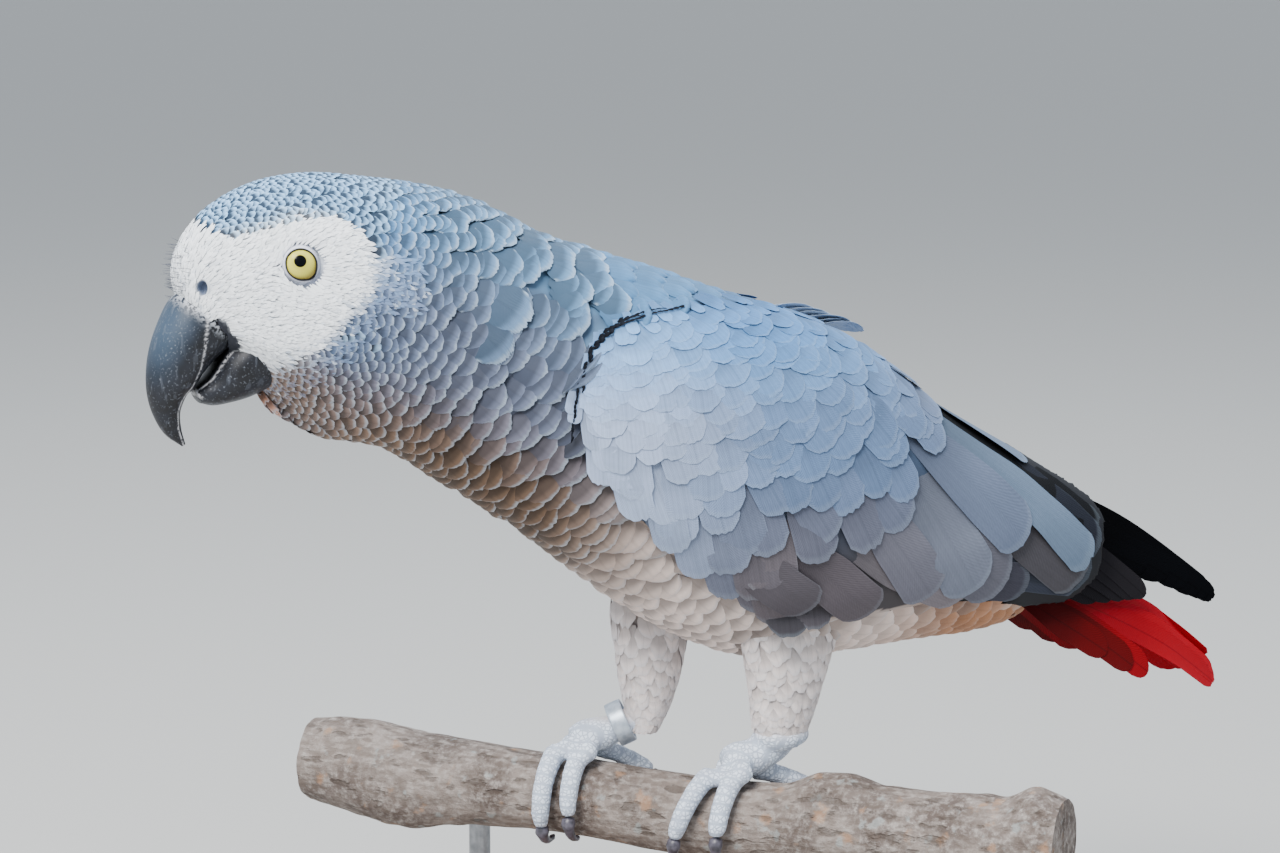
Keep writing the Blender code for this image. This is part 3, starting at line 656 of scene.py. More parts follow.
class Coat:
    """Many feathers gathered into one mesh."""

    def __init__(self, name):
        self.name = name
        self.points, self.faces, self.vanes, self.tints, self.patches = [], [], [], [], []
        self.size = 0

    def add(self, sheet, u, v, lie, length, width, depth, lift, tint, grid=(6, 5), ragged=0.02,
            hollow=0.2, blunt=1.0, thickness=0.10, sway=0.0, roll=0.0, waist=0.45, fringe=0.0,
            curl=0.10, hook=0.0):
        """Adds feathers rooted at coordinates of a sheet.  Length, width, the depth of the
        root below the sheet, the lift of the tip above it and how far the very tip is hooked
        back towards it are in millimetres."""
        count = len(u)
        if not count:
            return
        rows, columns = grid
        full = np.ones(count)
        length, width, depth, lift, roll = (full * k * MM for k in (length, width, depth, lift, roll))
        sway = (full * sway)[:, None]
        patch = sheet.patch(u, v)
        steps = max(rows, 7)
        stride = (length / (steps - 1))[:, None]
        spine, sides, ups = [], [], []
        for _ in range(steps):
            place, along, across, normal = sheet.frame(u, v)
            aim = lie(place, along)
            aim = unit(aim - normal * dot(aim, normal))
            aim = aim * np.cos(sway) + np.cross(normal, aim) * np.sin(sway)
            spine.append(place)
            sides.append(np.cross(normal, aim))
            ups.append(normal)
            a, b, c = dot(along, along), dot(along, across), dot(across, across)
            d, e = dot(along, aim), dot(across, aim)
            det = np.maximum(a * c - b * b, 1e-20)
            u = u + (stride * (d * c - e * b) / det)[:, 0]
            v = v + (stride * (e * a - d * b) / det)[:, 0]
        spine, sides, ups = (np.stack(k, axis=1) for k in (spine, sides, ups))
        t = np.linspace(0, 1, rows)[None, :, None]
        x = np.linspace(-1, 1, columns)[None, None, :]
        share = np.clip(width / (2 * length), 0, 0.6)[:, None, None] * blunt
        tip = 1 - share * (1 - np.sqrt(1 - (0.97 * x) ** 2))
        tip = tip + RANDOM.normal(0, ragged, (count, 1, columns)) * (1 - 0.3 * x**2)
        tip = tip - fringe * (np.arange(columns) % 2)[None, None]
        q = t * (1 - t**2 * (1 - tip))
        q = np.clip(q, 0, 1)
        where = q * (steps - 1.0001)
        index = where.astype(int)
        part = (where - index)[..., None]
        pick = np.arange(count)[:, None, None]
        centre, side, up = (
            k[pick, index] * (1 - part) + k[pick, index + 1] * part for k in (spine, sides, ups))
        half = (width / 2)[:, None, None] * (waist + (1 - waist) * smooth(0, 0.55, t))
        rise = -depth[:, None, None] + (depth + lift)[:, None, None] * q**1.5 * (2.6 - 1.6 * q - curl * q)
        arch = (full * hollow)[:, None, None]
        rise = rise - arch * half * x**2 * (0.4 + 0.6 * t) + roll[:, None, None] * x
        rise = rise - (hook * MM * np.ones(count))[:, None, None] * smooth(0.74, 1.08, t)
        top = centre + side * (half * x)[..., None] + up * rise[..., None]
        thin = thickness * MM * (1 - 0.5 * np.abs(x)) * (1 - 0.4 * t)
        base = top - up * (thin * np.ones_like(rise))[..., None]
        points = np.stack([top, base], axis=1).reshape(-1, 3)
        template = vane_faces(rows, columns)
        block = 2 * rows * columns
        faces = (template[None] + (np.arange(count) * block)[:, None, None] + self.size).reshape(-1, 4)
        shade = RANDOM.random(count)
        vane = np.stack(np.broadcast_arrays(t, x, shade[:, None, None] + 0 * q), -1)
        vane = np.repeat(vane[:, None], 2, axis=1).reshape(-1, 3)
        self.points.append(points)
        self.faces.append(faces)
        self.vanes.append(vane)
        self.tints.append(np.repeat(np.broadcast_to(tint, (count, 3)), block, axis=0))
        spread = np.stack([vane[:, 1] / 2, vane[:, 0] - 0.5], axis=-1) * 0.003
        self.patches.append(np.repeat(patch, block, axis=0) + spread)
        self.size += count * block

    def add_bristles(self, sheet, u, v, aim, length, thickness, tint):
        """Adds fine stiff bristles that stand up from a sheet along an aim of their own."""
        count = len(u)
        place, _, _, normal = sheet.frame(u, v)
        aim = unit(np.broadcast_to(aim, place.shape) + RANDOM.normal(0, 0.16, place.shape))
        side = unit(np.cross(aim, normal + 0.01))
        other = np.cross(aim, side)
        length, thickness = (np.ones(count) * k * MM for k in (length, thickness))
        rings = []
        for share, wide in ((-0.15, 1.0), (0.5, 0.8), (1.0, 0.25)):
            middle = place + aim * (length * share)[:, None]
            for a, b in ((1, 0), (0, 1), (-1, 0), (0, -1)):
                rings.append(middle + (side * a + other * b) * (thickness * wide / 2)[:, None])
        points = np.stack(rings, axis=1).reshape(-1, 3)
        body = grid_faces(3, 4, around=True)
        ends = np.array([[3, 2, 1, 0], [8, 9, 10, 11]])
        template = np.concatenate([body, ends])[:, ::-1]
        faces = (template[None] + (np.arange(count) * 12)[:, None, None] + self.size).reshape(-1, 4)
        self.points.append(points)
        self.faces.append(faces)
        self.vanes.append(np.tile([0.8, 0.3, 0.5], (count * 12, 1)))
        self.tints.append(np.repeat(np.broadcast_to(tint, (count, 3)), 12, axis=0))
        corner = np.tile([[k % 4, k // 4] for k in range(12)], (count, 1)) * 0.0008
        self.patches.append(np.repeat(sheet.patch(u, v), 12, axis=0) + corner)
        self.size += count * 12

    def finish(self, look, replaces=()):
        """Makes the piece, and tells how many triangles it has."""
        points, faces = np.concatenate(self.points), np.concatenate(self.faces)
        made = mesh_piece(self.name, points, faces, look, replaces)
        mesh = made.data
        keep(mesh, "vane", np.concatenate(self.vanes))
        keep(mesh, "tint", np.concatenate(self.tints), "FLOAT_COLOR")
        layer = mesh.uv_layers.new(name="OFBake")
        layer.data.foreach_set("uv", np.concatenate(self.patches)[faces.ravel()].astype(np.float32).ravel())
        mesh.set_sharp_from_angle(angle=math.radians(55))
        print(self.name, len(faces) * 2, "triangles")
        return made


# ------------------------------------------------------------------ markings
def face_share(points, beyond=0.0, fade=0.0):
    """How much of the white face is at points: 1 inside its border, 0 beyond it.  The border
    may be taken some millimetres further down and back, and fade out over some more."""
    x, z = points[:, 0] / MM, points[:, 2] / MM
    low, high = look_up(FACE, x).T
    upper = smooth(-1.6 - 0.6 * fade, 1.0, high - z + beyond * 0.15)
    lower = smooth(-6.0, 3.5 + 0.5 * fade, z - low + beyond)
    rear = smooth(-85.0 + 0.3 * fade, -94.0 - fade, x - beyond)
    return upper * lower * rear


def body_tint(points, normals):
    """Colour of the coat of head, neck and trunk at points, bluer on upward faces and warmer on downward
    ones: partly the coat's own colour, partly painted skylight from above and painted warm light bounced
    from below.
    """
    x, z = points[:, 0] / MM, points[:, 2] / MM
    facing = normals[:, 2]
    upper = mixed(smooth(-95, -60, x), SKY_GREY, SLATE)
    upper = mixed(smooth(0, 40, x), upper, WING_MID)
    middle = mixed(smooth(-115, -60, x), WING_MID, DUSK)
    # Facing up the coat turns bluer and facing down warmer: partly the coat's own colour, partly painted
    # skylight on upward faces and painted warm bounce light on downward faces.
    colour = mixed(smooth(0.60, 0.0, facing), upper, middle)
    colour = mixed(smooth(-0.10, -0.80, facing), colour, TAUPE)
    colour = mixed(smooth(-96, -66, x) * smooth(0.05, -0.65, facing), colour, BROWN)
    belly = smooth(-45, 5, x + 0.25 * (165 - z))
    colour = mixed(belly * smooth(0.35, -0.15, facing), colour, CREAM)
    colour = mixed(smooth(50, 85, x) * smooth(-0.2, -0.6, facing), colour, PEACH)
    return mixed(face_share(points, 2.0, 5.0) * 0.8, colour, WHITE)


# ------------------------------------------------------------------ looks
def plumage_look(name, rim=0.35, root=0.45, barbs=0.05, streak=0.1, shaft=0.1, sheen=0.1, rim_width=0.12,
                 teeth_across=60.0, lit=(0.50, 0.84), side_rim=1.0, gloss=0.25, streaks=0.0,
                 edge_card=(216, 235, 252)):
    """Feathers in the colour that each carries: darker towards the root, partly their own base and partly
    painted shade under the feather above, paler at the rim, partly their own pale edge and partly a painted
    highlight, with fine barbs slanting away from the shaft."""
    look = Look(name)
    along, across, shade = look.kept("vane")
    away = look.node("ShaderNodeMath", {"operation": "ABSOLUTE"}, {0: across})
    colour = look.tint("tint")
    edge = look.step(away, 1.0 - rim_width, 1.0)
    end = look.step(along, 1.0 - rim_width, 0.98)
    edge = edge * look.step(along, 0.55, 0.75) * side_rim
    either = look.node("ShaderNodeMath", {"operation": "MAXIMUM"}, {0: edge, 1: end})
    teeth = look.wave(across * teeth_across + shade * 9.0) * 0.5 + 0.5
    slant = along * 60.0 - away * 22.0 + shade * 40.0
    fine = look.wave(slant * 3.0) * 0.5 + 0.5
    mottle = look.noise(1.1, 2.0)
    # Darker towards the root: painted shade where the feather above overlaps this one, with some of the
    # feather's own darker base; lit sets where it turns light.
    tone = (1.0 - root) + root * look.step(along, *lit)
    tone = tone * (0.90 + 0.20 * shade) * ((1.0 - streak / 2) + streak * fine) * (0.93 + 0.14 * mottle)
    tone = tone * (1.0 - shaft * (1.0 - look.step(away, 0.02, 0.09)))
    ripple = look.wave(across * 17.0 + shade * 30.0) * look.wave(across * 41.0 + shade * 70.0)
    tone = tone * (1.0 + streaks * ripple)
    # The pale rim is partly the feather's own pale edge and partly a painted highlight where the edge
    # catches the light.
    pale = look.mix(0.58, colour, srgb(*edge_card))
    colour = look.scaled(colour, tone)
    colour = look.mix(either * rim * (0.72 + 0.28 * teeth), colour, pale)
    relief = look.bump(fine + teeth * either, barbs)
    return look.put(
        Base_Color=colour, Roughness=0.66, Normal=relief, Sheen_Weight=sheen, Sheen_Roughness=0.4,
        Specular_IOR_Level=gloss)


def skin_look():
    """Skin in the colours of the coat above it, finely scaled on the bare feet."""
    look = Look("scaled_skin")
    bare, wrap, lid = look.kept("bare")
    colour = look.tint("tint")
    plates = look.plates(1.25, 0.8)
    rings = look.wave(wrap * 2.6) * 0.5 + 0.5
    grooves = look.step(plates, 0.0, 0.20) * look.step(rings, 0.0, 0.3)
    dust = look.noise(3.0, 4.0)
    pale = look.mix(look.step(dust, 0.3, 0.75), BARE_SKIN, srgb(214, 222, 236))
    scaly = look.mix(grooves * 0.55 + 0.45, srgb(112, 126, 150), pale)
    folds = look.wave(lid * 30.0) * 0.5 + 0.5
    bald = look.mix(folds * 0.4 + 0.6 * look.noise(0.9, 3.0), srgb(196, 200, 220), srgb(232, 234, 244))
    bald = look.mix(1.0 - look.step(lid, 1.05, 1.14), bald, srgb(20, 20, 24))
    round_eye = 1.0 - look.step(lid, 1.32, 1.50)
    colour = look.mix(bare, colour, scaly)
    colour = look.mix(round_eye, colour, bald)
    height = grooves * bare + folds * round_eye * 0.4
    return look.put(Base_Color=colour, Roughness=0.6, Normal=look.bump(height, 0.12), Specular_IOR_Level=0.3)


def bill_look():
    """Dark horn with a soft gloss and a painted bluish sheen along its ridge, scuffed, with worn pale edges.
    """
    look = Look("bill_horn")
    edge, ridge, scuff = look.kept("wear_and_sheen")
    mouth, _, _ = look.kept("mouth")
    cloud = look.noise(4.0, 4.0)
    specks = look.step(look.noise(0.6, 3.0), 0.58, 0.72)
    scratches = look.step(look.noise(1.6, 3.0, (1.0, 1.0, 0.16)), 0.58, 0.70)
    horn = look.mix(look.step(cloud, 0.3, 0.7), srgb(13, 14, 19), srgb(27, 30, 39))
    # ridge: a painted bluish sheen along the top of the upper bill, and faintly along the lower bill's
    # underside.
    horn = look.mix(ridge * 0.65, horn, srgb(66, 86, 108))
    horn = look.mix(specks * 0.3, horn, srgb(140, 148, 160))
    horn = look.mix(scratches * 0.18, horn, srgb(122, 130, 144))
    horn = look.mix(mouth, horn, srgb(8, 8, 9))
    horn = look.mix(edge * look.step(look.noise(0.8, 2.0), 0.34, 0.54), horn, srgb(196, 196, 200))
    horn = look.mix(scuff * look.step(look.noise(1.0, 3.0), 0.42, 0.56), horn, srgb(218, 224, 234))
    relief = look.bump(cloud * 0.6 + scratches * 0.3 - specks * 0.2, 0.18)
    return look.put(Base_Color=horn, Roughness=0.36 + 0.2 * cloud, Normal=relief, Specular_IOR_Level=0.4)


def eye_look():
    """Pale straw iris, a small dark pupil and a dark rim under clear gloss."""
    look = Look("eye")
    from_axis, turn, _ = look.kept("iris")
    rays = look.wave(turn * 46.0) * 0.5 + 0.5
    iris = look.mix(rays * 0.3, srgb(222, 214, 92), srgb(196, 186, 70))
    iris = look.mix(look.step(from_axis, 1.7, 2.6), srgb(200, 192, 84), iris)
    iris = look.mix(look.step(from_axis, 3.2, 4.4), iris, srgb(160, 142, 66))
    iris = look.mix(look.step(from_axis, 1.46, 1.60), srgb(1, 2, 5), iris)
    iris = look.mix(look.step(from_axis, 4.5, 4.7), iris, srgb(16, 15, 15))
    return look.put(
        Base_Color=iris, Roughness=0.25, Coat_Weight=0.16, Coat_Roughness=0.03, Specular_IOR_Level=0.05)


def plain_look(name, dark, pale, roughness, size, depth, metallic=0.0):
    """A material that clouds between two colours, with a little relief."""
    look = Look(name)
    cloud = look.noise(size, 4.0)
    colour = look.mix(look.step(cloud, 0.3, 0.7), dark, pale)
    return look.put(Base_Color=colour, Roughness=(roughness - 0.06) + 0.12 * cloud, Metallic=metallic,
                    Normal=look.bump(cloud, depth))


def bark_look():
    """Weathered grey-brown bark: cloudy, finely cracked along the branch, with lichen."""
    look = Look("bark")
    along = look.node("ShaderNodeVectorRotate", {"rotation_type": "Z_AXIS"},
                      {"Vector": look.place(), "Angle": -PERCH_HEADING})
    broad = look.noise(16.0, 5.0)
    fine = look.noise(2.2, 6.0, roughness=0.7)
    grain = look.noise(1.6, 4.0, (0.30, 1.0, 1.0), along)
    cracks = look.step(look.noise(3.2, 4.0, (0.40, 1.0, 1.0), along), 0.36, 0.44)
    bark = look.mix(look.step(broad, 0.36, 0.64), srgb(98, 87, 82), srgb(146, 135, 128))
    bark = look.mix(look.step(fine, 0.40, 0.72), bark, srgb(168, 160, 154))
    bark = look.mix(look.step(grain, 0.55, 0.42) * 0.45, bark, srgb(98, 86, 78))
    bark = look.mix(look.step(look.noise(7.0, 4.0), 0.60, 0.70) * 0.4, bark, srgb(184, 136, 96))
    bark = look.mix(look.step(look.noise(5.0, 4.0), 0.62, 0.70) * 0.5, bark, srgb(162, 170, 170))
    bark = look.mix(cracks * 0.5 + 0.5, srgb(66, 56, 50), bark)
    relief = look.bump(fine * 0.8 + cracks * 0.35 + grain * 0.5, 1.2)
    return look.put(Base_Color=bark, Roughness=0.9, Normal=relief, Specular_IOR_Level=0.2)


def wood_look():
    """Oiled wood, its grain along X."""
    look = Look("stand_wood")
    grain = look.noise(5.0, 5.0, (0.12, 1.0, 1.0))
    pores = look.step(look.noise(1.2, 3.0, (0.08, 1.0, 1.0)), 0.55, 0.75)
    colour = look.mix(look.step(grain, 0.3, 0.7), srgb(92, 64, 44), srgb(140, 104, 74))
    colour = look.mix(pores * 0.5, colour, srgb(62, 42, 30))
    relief = look.bump(grain - pores * 0.4, 0.15)
    return look.put(Base_Color=colour, Roughness=0.45 + 0.15 * grain, Normal=relief)


# ------------------------------------------------------------------ the coat
# Stations of BODY where the coat changes
MANTLE = 9.4
NECK_END = 9.6
RUMP = 11.0
VENT = 12.6
FINE_WIDTH = 2.6                 # a feather's shown width, below which it is a fine one
BROAD_WIDTH = 5.4                # and from which it is a broad one
WING_COVER = 0.013               # in metres, how far below a wing a feather of the body is hidden
RUMP_COVER = 0.030               # and how far on the rump
MANTLE_SHADE = (0.57, 0.71, 0.79)
BRISTLES = 46                    # on each side of the forehead
ANGLES = np.linspace(0, 2 * math.pi, 128, endpoint=False)
STATIONS = np.linspace(0, len(BODY) - 1, 180)
BODY_SHEET = Sheet(
    sections(BODY, STATIONS, ANGLES), (0, len(BODY) - 1), (0, 2 * math.pi), around=True)


def body_lie(places, along):
    """The coat of the body lies tailwards and droops a little down the sides."""
    x, y, z = places.T / MM
    droop = smooth(0.25, 0.9, np.abs(y) / 22.0) * smooth(60, 20, x) * (0.10 + 0.14 * smooth(-95, -70, x))
    lie = unit(along)
    lie[:, 2] -= droop
    off_eye = np.stack([x - EYE_PLACE[0], 0 * x, z - EYE_PLACE[2]], axis=-1)
    away = np.linalg.norm(off_eye, axis=1, keepdims=True)
    round_eye = 1.1 * np.exp(-np.maximum(away - 5.0, 0) / 3.5) * (smooth(-60, -70, x))[:, None]
    return lie + round_eye * off_eye / np.maximum(away, 1.0)


def coat_rows(low, high, sizes):
    """Roots of the body's coat, row after row: stations, angles, row step and shown width."""
    u = np.full(len(ANGLES), float(low))
    found, row = [], 0
    turn = np.minimum(ANGLES, 2 * math.pi - ANGLES)
    aside = smooth(math.radians(30), math.radians(85), turn)
    under = smooth(math.radians(95), math.radians(150), turn)
    while u.mean() < high:
        sized = look_up(sizes, u).T
        step, width = (
            k[0] * (1 - aside) + k[1] * aside * (1 - under) + k[2] * under for k in (sized[:3], sized[3:]))
        _, along, across, _ = BODY_SHEET.frame(u, ANGLES)
        density = np.linalg.norm(across, axis=1) * (2 * math.pi / len(ANGLES)) / (width * MM)
        total = np.concatenate([[0], np.cumsum(density)])
        count = max(6, int(round(total[-1])))
        want = (np.arange(count) + 0.5 * (row % 2) + RANDOM.uniform(-0.12, 0.12, count)) % count
        angle = np.interp(want / count * total[-1], total, np.append(ANGLES, 2 * math.pi))
        at = [np.interp(angle, ANGLES, k, period=2 * math.pi) for k in (u, step, width)]
        speed = np.maximum(np.linalg.norm(along, axis=1), MM)
        jitter = RANDOM.uniform(-0.20, 0.20, count) * at[1] * MM / np.interp(
            angle, ANGLES, speed, period=2 * math.pi)
        found.append(np.stack([at[0] + jitter, angle, at[1], at[2]], axis=-1))
        u = u + step * MM / speed
        row += 1
    return np.concatenate(found)


WINGS_TREE = search_tree(["wing_left", "wing_right", "thigh_left", "thigh_right"])


def covered(places, normals, limit):
    """Whether a wing or a thigh lies over points of the body, within a limit in metres."""
    reach = reach_of(WINGS_TREE, places - normals * 0.001, normals, limit)
    return ~np.isnan(reach)


def nearness(tree, places):
    """How far points are from some nodes, in millimetres, up to 9."""
    found = [tree.find_nearest(Vector(place), 0.009)[3] for place in places]
    return np.array([0.009 if gap is None else gap for gap in found]) / MM


def wing_height(places, normals):
    """How high the wings' outer face stands above points of the body, in millimetres."""
    reach = reach_of(WINGS_TREE, places + normals * 0.02, -normals, 0.02)
    return np.where(np.isnan(reach), 0.0, 0.02 - np.nan_to_num(reach)) / MM


def near_hole(places, holes, radius):
    """Whether points are within a radius in millimetres of any of some places, seen from the side."""
    found = np.zeros(len(places), bool)
    for hole in holes:
        found |= np.hypot(places[:, 0] / MM - hole[0], places[:, 2] / MM - hole[2]) < radius
    return found


def trimmed(u, v, step, width):
    """Lengths and widths of the body's feathers, cut short where they would run onto a wing, with
    which of them are shown, which lie over a wing and which lie before it."""
    place, along, _, normal = BODY_SHEET.frame(u, v)
    heading = unit(body_lie(place, along))
    x, y, z = place.T / MM
    whole = step * 2.5 + 0.8
    length = whole

    def under_wing(share):
        """Whether a share of the way down each feather is under a wing, and that place."""
        spot = place + heading * (length * share * MM)[:, None]
        return covered(spot, normal, WING_COVER), spot

    here = covered(place, normal, WING_COVER)
    over_wing = (z > look_up(CREASE, x)[:, 0] - 1.0) & (x < -9) & (z > 204)
    before_wing = (x < -22) & (z > 188) & (z < 217) & ~here
    for share in (0.9, 0.75, 0.6, 0.45, 0.3):
        length = np.where(before_wing & under_wing(share)[0] & ~over_wing, length * share + 1.0, length)
    width = width * np.clip(length / whole, 0.4, 1.0) ** 0.6
    hidden = here & under_wing(0.9)[0] & under_wing(1.5)[0]
    bare = (u > RUMP) & (normal[:, 2] > -0.35) & covered(place, normal, RUMP_COVER) & (np.abs(y) > 9)
    for _ in range(3):
        under, tips = under_wing(0.9)
        tip_x, tip_z = tips[:, 0] / MM, tips[:, 2] / MM
        past = (tip_z < look_up(CREASE, tip_x)[:, 0] - 0.5) & (tip_x > -39.5) & (z > 192) & under
        length = np.where(past, length * 0.75, length)
    bare |= past & (length < 2.4)
    shown = (face_share(place) < 0.62) & ~near_hole(place, [EYE_PLACE], 8.0) & (~hidden | over_wing) & ~bare
    return length, width, tips, shown, over_wing, before_wing


def build_body_coat(look, head_look, face_look, smooth_look, breast_look, vent_look):
    """Feathers of face, head, neck and trunk."""
    u, v, step, width = coat_rows(0.15, 16.6, COAT).T
    length, width, tips, shown, over_wing, before_wing = trimmed(u, v, step, width)
    u, v, width, length, tips, over_wing, before_wing = (
        k[shown] for k in (u, v, width, length, tips, over_wing, before_wing))
    place, _, _, normal = BODY_SHEET.frame(u, v)
    # Body feathers close to a wing and not over it are painted darker: painted shade in the crease along the
    # wing.
    clear_of_wing_shade = smooth(1.0, 4.5, nearness(WINGS_TREE, tips))
    tint = body_tint(tips, normal) * np.where(over_wing, 1.0, 0.50 + 0.50 * clear_of_wing_shade)[:, None]
    count = len(u)
    size = np.clip((width - 1.6) / 7, 0, 1)
    ruffle = smooth(5.5, 7.5, u) * smooth(11.5, 9.8, u)
    depth = 0.50 + 1.7 * size
    lift = 0.08 + 0.20 * size + 0.70 * ruffle * RANDOM.random(count)
    mantle = (u > MANTLE) & (normal[:, 2] > 0.30)
    vent = (u > VENT) & (normal[:, 2] <= 0.30)
    lift = np.where(mantle | vent, 0.05, lift)
    tint = tint * np.where(mantle[:, None], MANTLE_SHADE, 1.0)
    depth = np.where(mantle | vent, depth * 0.7, depth)
    on_wing = over_wing | before_wing
    lift = np.where(on_wing, np.maximum(lift, wing_height(tips, normal) + 0.35), lift)
    depth = np.where(over_wing, np.minimum(depth, 1.0 - wing_height(place, normal)), depth)
    width = width * np.where(mantle, 0.8, 1.0) * RANDOM.uniform(0.9, 1.12, count)
    length = length * RANDOM.uniform(0.95, 1.06, count)
    fine, broad, upper = width < FINE_WIDTH, width >= BROAD_WIDTH, normal[:, 2] > -0.10
    neck, left = broad & (u < NECK_END) & ~mantle, v < math.pi
    zones = (
        # name, feathers, points along and across each, look, overlap, fringe at the tip
        ("coat_head", fine & upper, (7, 5), head_look, 1.45, 0.0),
        ("coat_chin", fine & ~upper, (7, 5), look, 1.45, 0.0),
        ("coat_cheeks", ~fine & ~broad & ~vent, (8, 9), look, 1.40, 0.02),
        ("coat_neck_left", neck & left, (11, 17), look, 1.34, 0.02),
        ("coat_neck_right", neck & ~left, (9, 13), look, 1.34, 0.02),
        ("coat_mantle", mantle & ~fine, (9, 13), smooth_look, 1.35, 0.02),
        ("coat_trunk", broad & (u >= NECK_END) & ~mantle & ~vent, (10, 13), breast_look, 1.32, 0.02),
        ("coat_vent", vent & ~fine, (9, 13), vent_look, 1.45, 0.02),
    )
    for name, chosen, grid, feathers, overlap, fringe in zones:
        coat = Coat(name)
        coat.add(
            BODY_SHEET, u[chosen], v[chosen], body_lie, length[chosen], width[chosen] * overlap,
            depth[chosen], lift[chosen], tint[chosen], grid, ragged=0.02,
            hollow=(0.20 + 0.08 * size)[chosen], sway=RANDOM.normal(0, 0.11, chosen.sum()),
            roll=RANDOM.normal(0, 0.12, chosen.sum()), fringe=fringe, blunt=1.15,
            hook=(0.15 + 0.75 * size)[chosen])
        coat.finish(feathers)
    build_face(face_look)


def build_face(look):
    """Fine white plumes that run back from the bill and round the eyes, and the bristles."""
    u, v = coat_rows(0.1, 6.8, FACE_COAT).T[:2]
    place, along, _, normal = BODY_SHEET.frame(u, v)
    heading = unit(body_lie(place, along))
    shown = face_share(place, 9.0) > RANDOM.uniform(0.02, 0.98, len(u))
    for reach in (0.0, 1.4, 2.6):
        tips = place + heading * reach * MM
        shown &= ~near_hole(tips, [NOSTRIL], 1.8) & ~near_hole(tips, [EYE_PLACE], 4.9)
        shown &= ~near_hole(tips, GAPE_CORNER, 2.0)
    u, v, place, normal = (k[shown] for k in (u, v, place, normal))
    white = smooth(0.05, 0.95, face_share(place, 1.0, 7.0) + RANDOM.normal(0, 0.20, len(u)))
    beyond = mixed(RANDOM.random(len(u)) * 0.3, mixed(0.3, body_tint(place, normal), DUSK), SLATE)
    tint = mixed(white, beyond, WHITE)
    for name, side in SIDES:
        chosen = (v < math.pi) if side < 0 else (v >= math.pi)
        coat = Coat("coat_face_" + name)
        count = chosen.sum()
        coat.add(BODY_SHEET, u[chosen], v[chosen], body_lie, RANDOM.uniform(2.6, 3.8, count), 0.75, 0.35,
                 RANDOM.uniform(0.05, 0.30, count), tint[chosen], (4, 3), ragged=0.05, hollow=0.1,
                 thickness=0.07, sway=RANDOM.normal(0, 0.16, count), blunt=3.0)
        turn = RANDOM.uniform(0.0, 0.75, BRISTLES)
        start = RANDOM.uniform(0.12, 1.9, BRISTLES)
        turn = turn if side < 0 else 2 * math.pi - turn
        coat.add_bristles(BODY_SHEET, start, turn, (-0.9, 0.25 * side, 0.15),
                          RANDOM.uniform(1.6, 3.0, BRISTLES), 0.15, srgb(84, 88, 100))
        coat.finish(look)


def straight(heading):
    """A lie that is the same everywhere."""
    return lambda places, along: np.broadcast_to(heading, places.shape)


def wing_sheet(side, name):
    """The outer face of a folded wing over its bed's stations and angles, and which of its
    points are on the wing."""
    station_range, turn_range = (-0.6, 8.0), (math.radians(-6), math.radians(150))
    stations = np.linspace(*station_range, 120)
    angles = np.linspace(*turn_range, 100)
    bed = sections(WING_BED, stations, angles)
    first = sections(WING_BED, [0.0], angles)
    second = sections(WING_BED, [0.4], angles)
    before = stations < 0
    bed[before] = first + (first - second) * (-stations[before] / 0.4)[:, None, None]
    normals = unit(np.cross(np.gradient(bed, axis=1), np.gradient(bed, axis=0)))
    if side > 0:
        bed[..., 1] *= -1
        normals[..., 1] *= -1
    tree = search_tree([name])
    reach = 0.03 - reach_of(tree, bed + normals * 0.03, -normals, 0.036)
    on_wing = ~np.isnan(reach)
    height = blurred(filled(reach)[..., None], 5, False)
    grid = bed + normals * height
    return Sheet(grid, station_range, turn_range, outward=-side), on_wing


def fan_lie(places, along):
    """Wing feathers point away from the place they fan out from."""
    lie = places - np.array([WING_FAN[0], 0, WING_FAN[1]]) * MM
    lie[:, 1] = 0
    return unit(lie)


def unrolled(sheet):
    """A wing's points laid flat: along X, and height as if its upper part stood upright."""
    grid = sheet.grid / MM
    gaps = np.linalg.norm(np.diff(grid, axis=1), axis=2)
    run = np.concatenate([np.zeros((len(grid), 1)), np.cumsum(gaps, axis=1)], axis=1)
    widest = np.abs(grid[..., 1]).argmax(axis=1)
    pick = np.arange(len(grid))
    return grid[..., 0], grid[pick, widest, 2][:, None] + run[pick, widest][:, None] - run


def wing_tint(place):
    """Colour of a wing's feathers: pale at the shoulder, darker towards its lower rim."""
    x, z = place[:, 0] / MM, place[:, 2] / MM
    colour = mixed(smooth(-26, 16, x), WING_PALE, WING_MID)
    colour = mixed(smooth(45, 95, x), colour, WING_REAR)
    colour = mixed(smooth(186, 214, z) * 0.8, colour, SKY_GREY)
    top = smooth(194, 210, z) * smooth(-26, 6, x)
    colour = colour * (1 - top[:, None] * np.array([0.36, 0.27, 0.20]))
    return mixed(smooth(178, 143, z) * smooth(-24, 16, x), colour, WING_LOW)


def rear_room(x, z):
    """Whether the large rear feathers cover points of a wing's side."""
    front, top = look_up(REAR_FRONT, z)[:, 0], look_up(REAR_TOP, x)[:, 0]
    return ((x > front + 6.0) & (z < top)) | (x > 112)


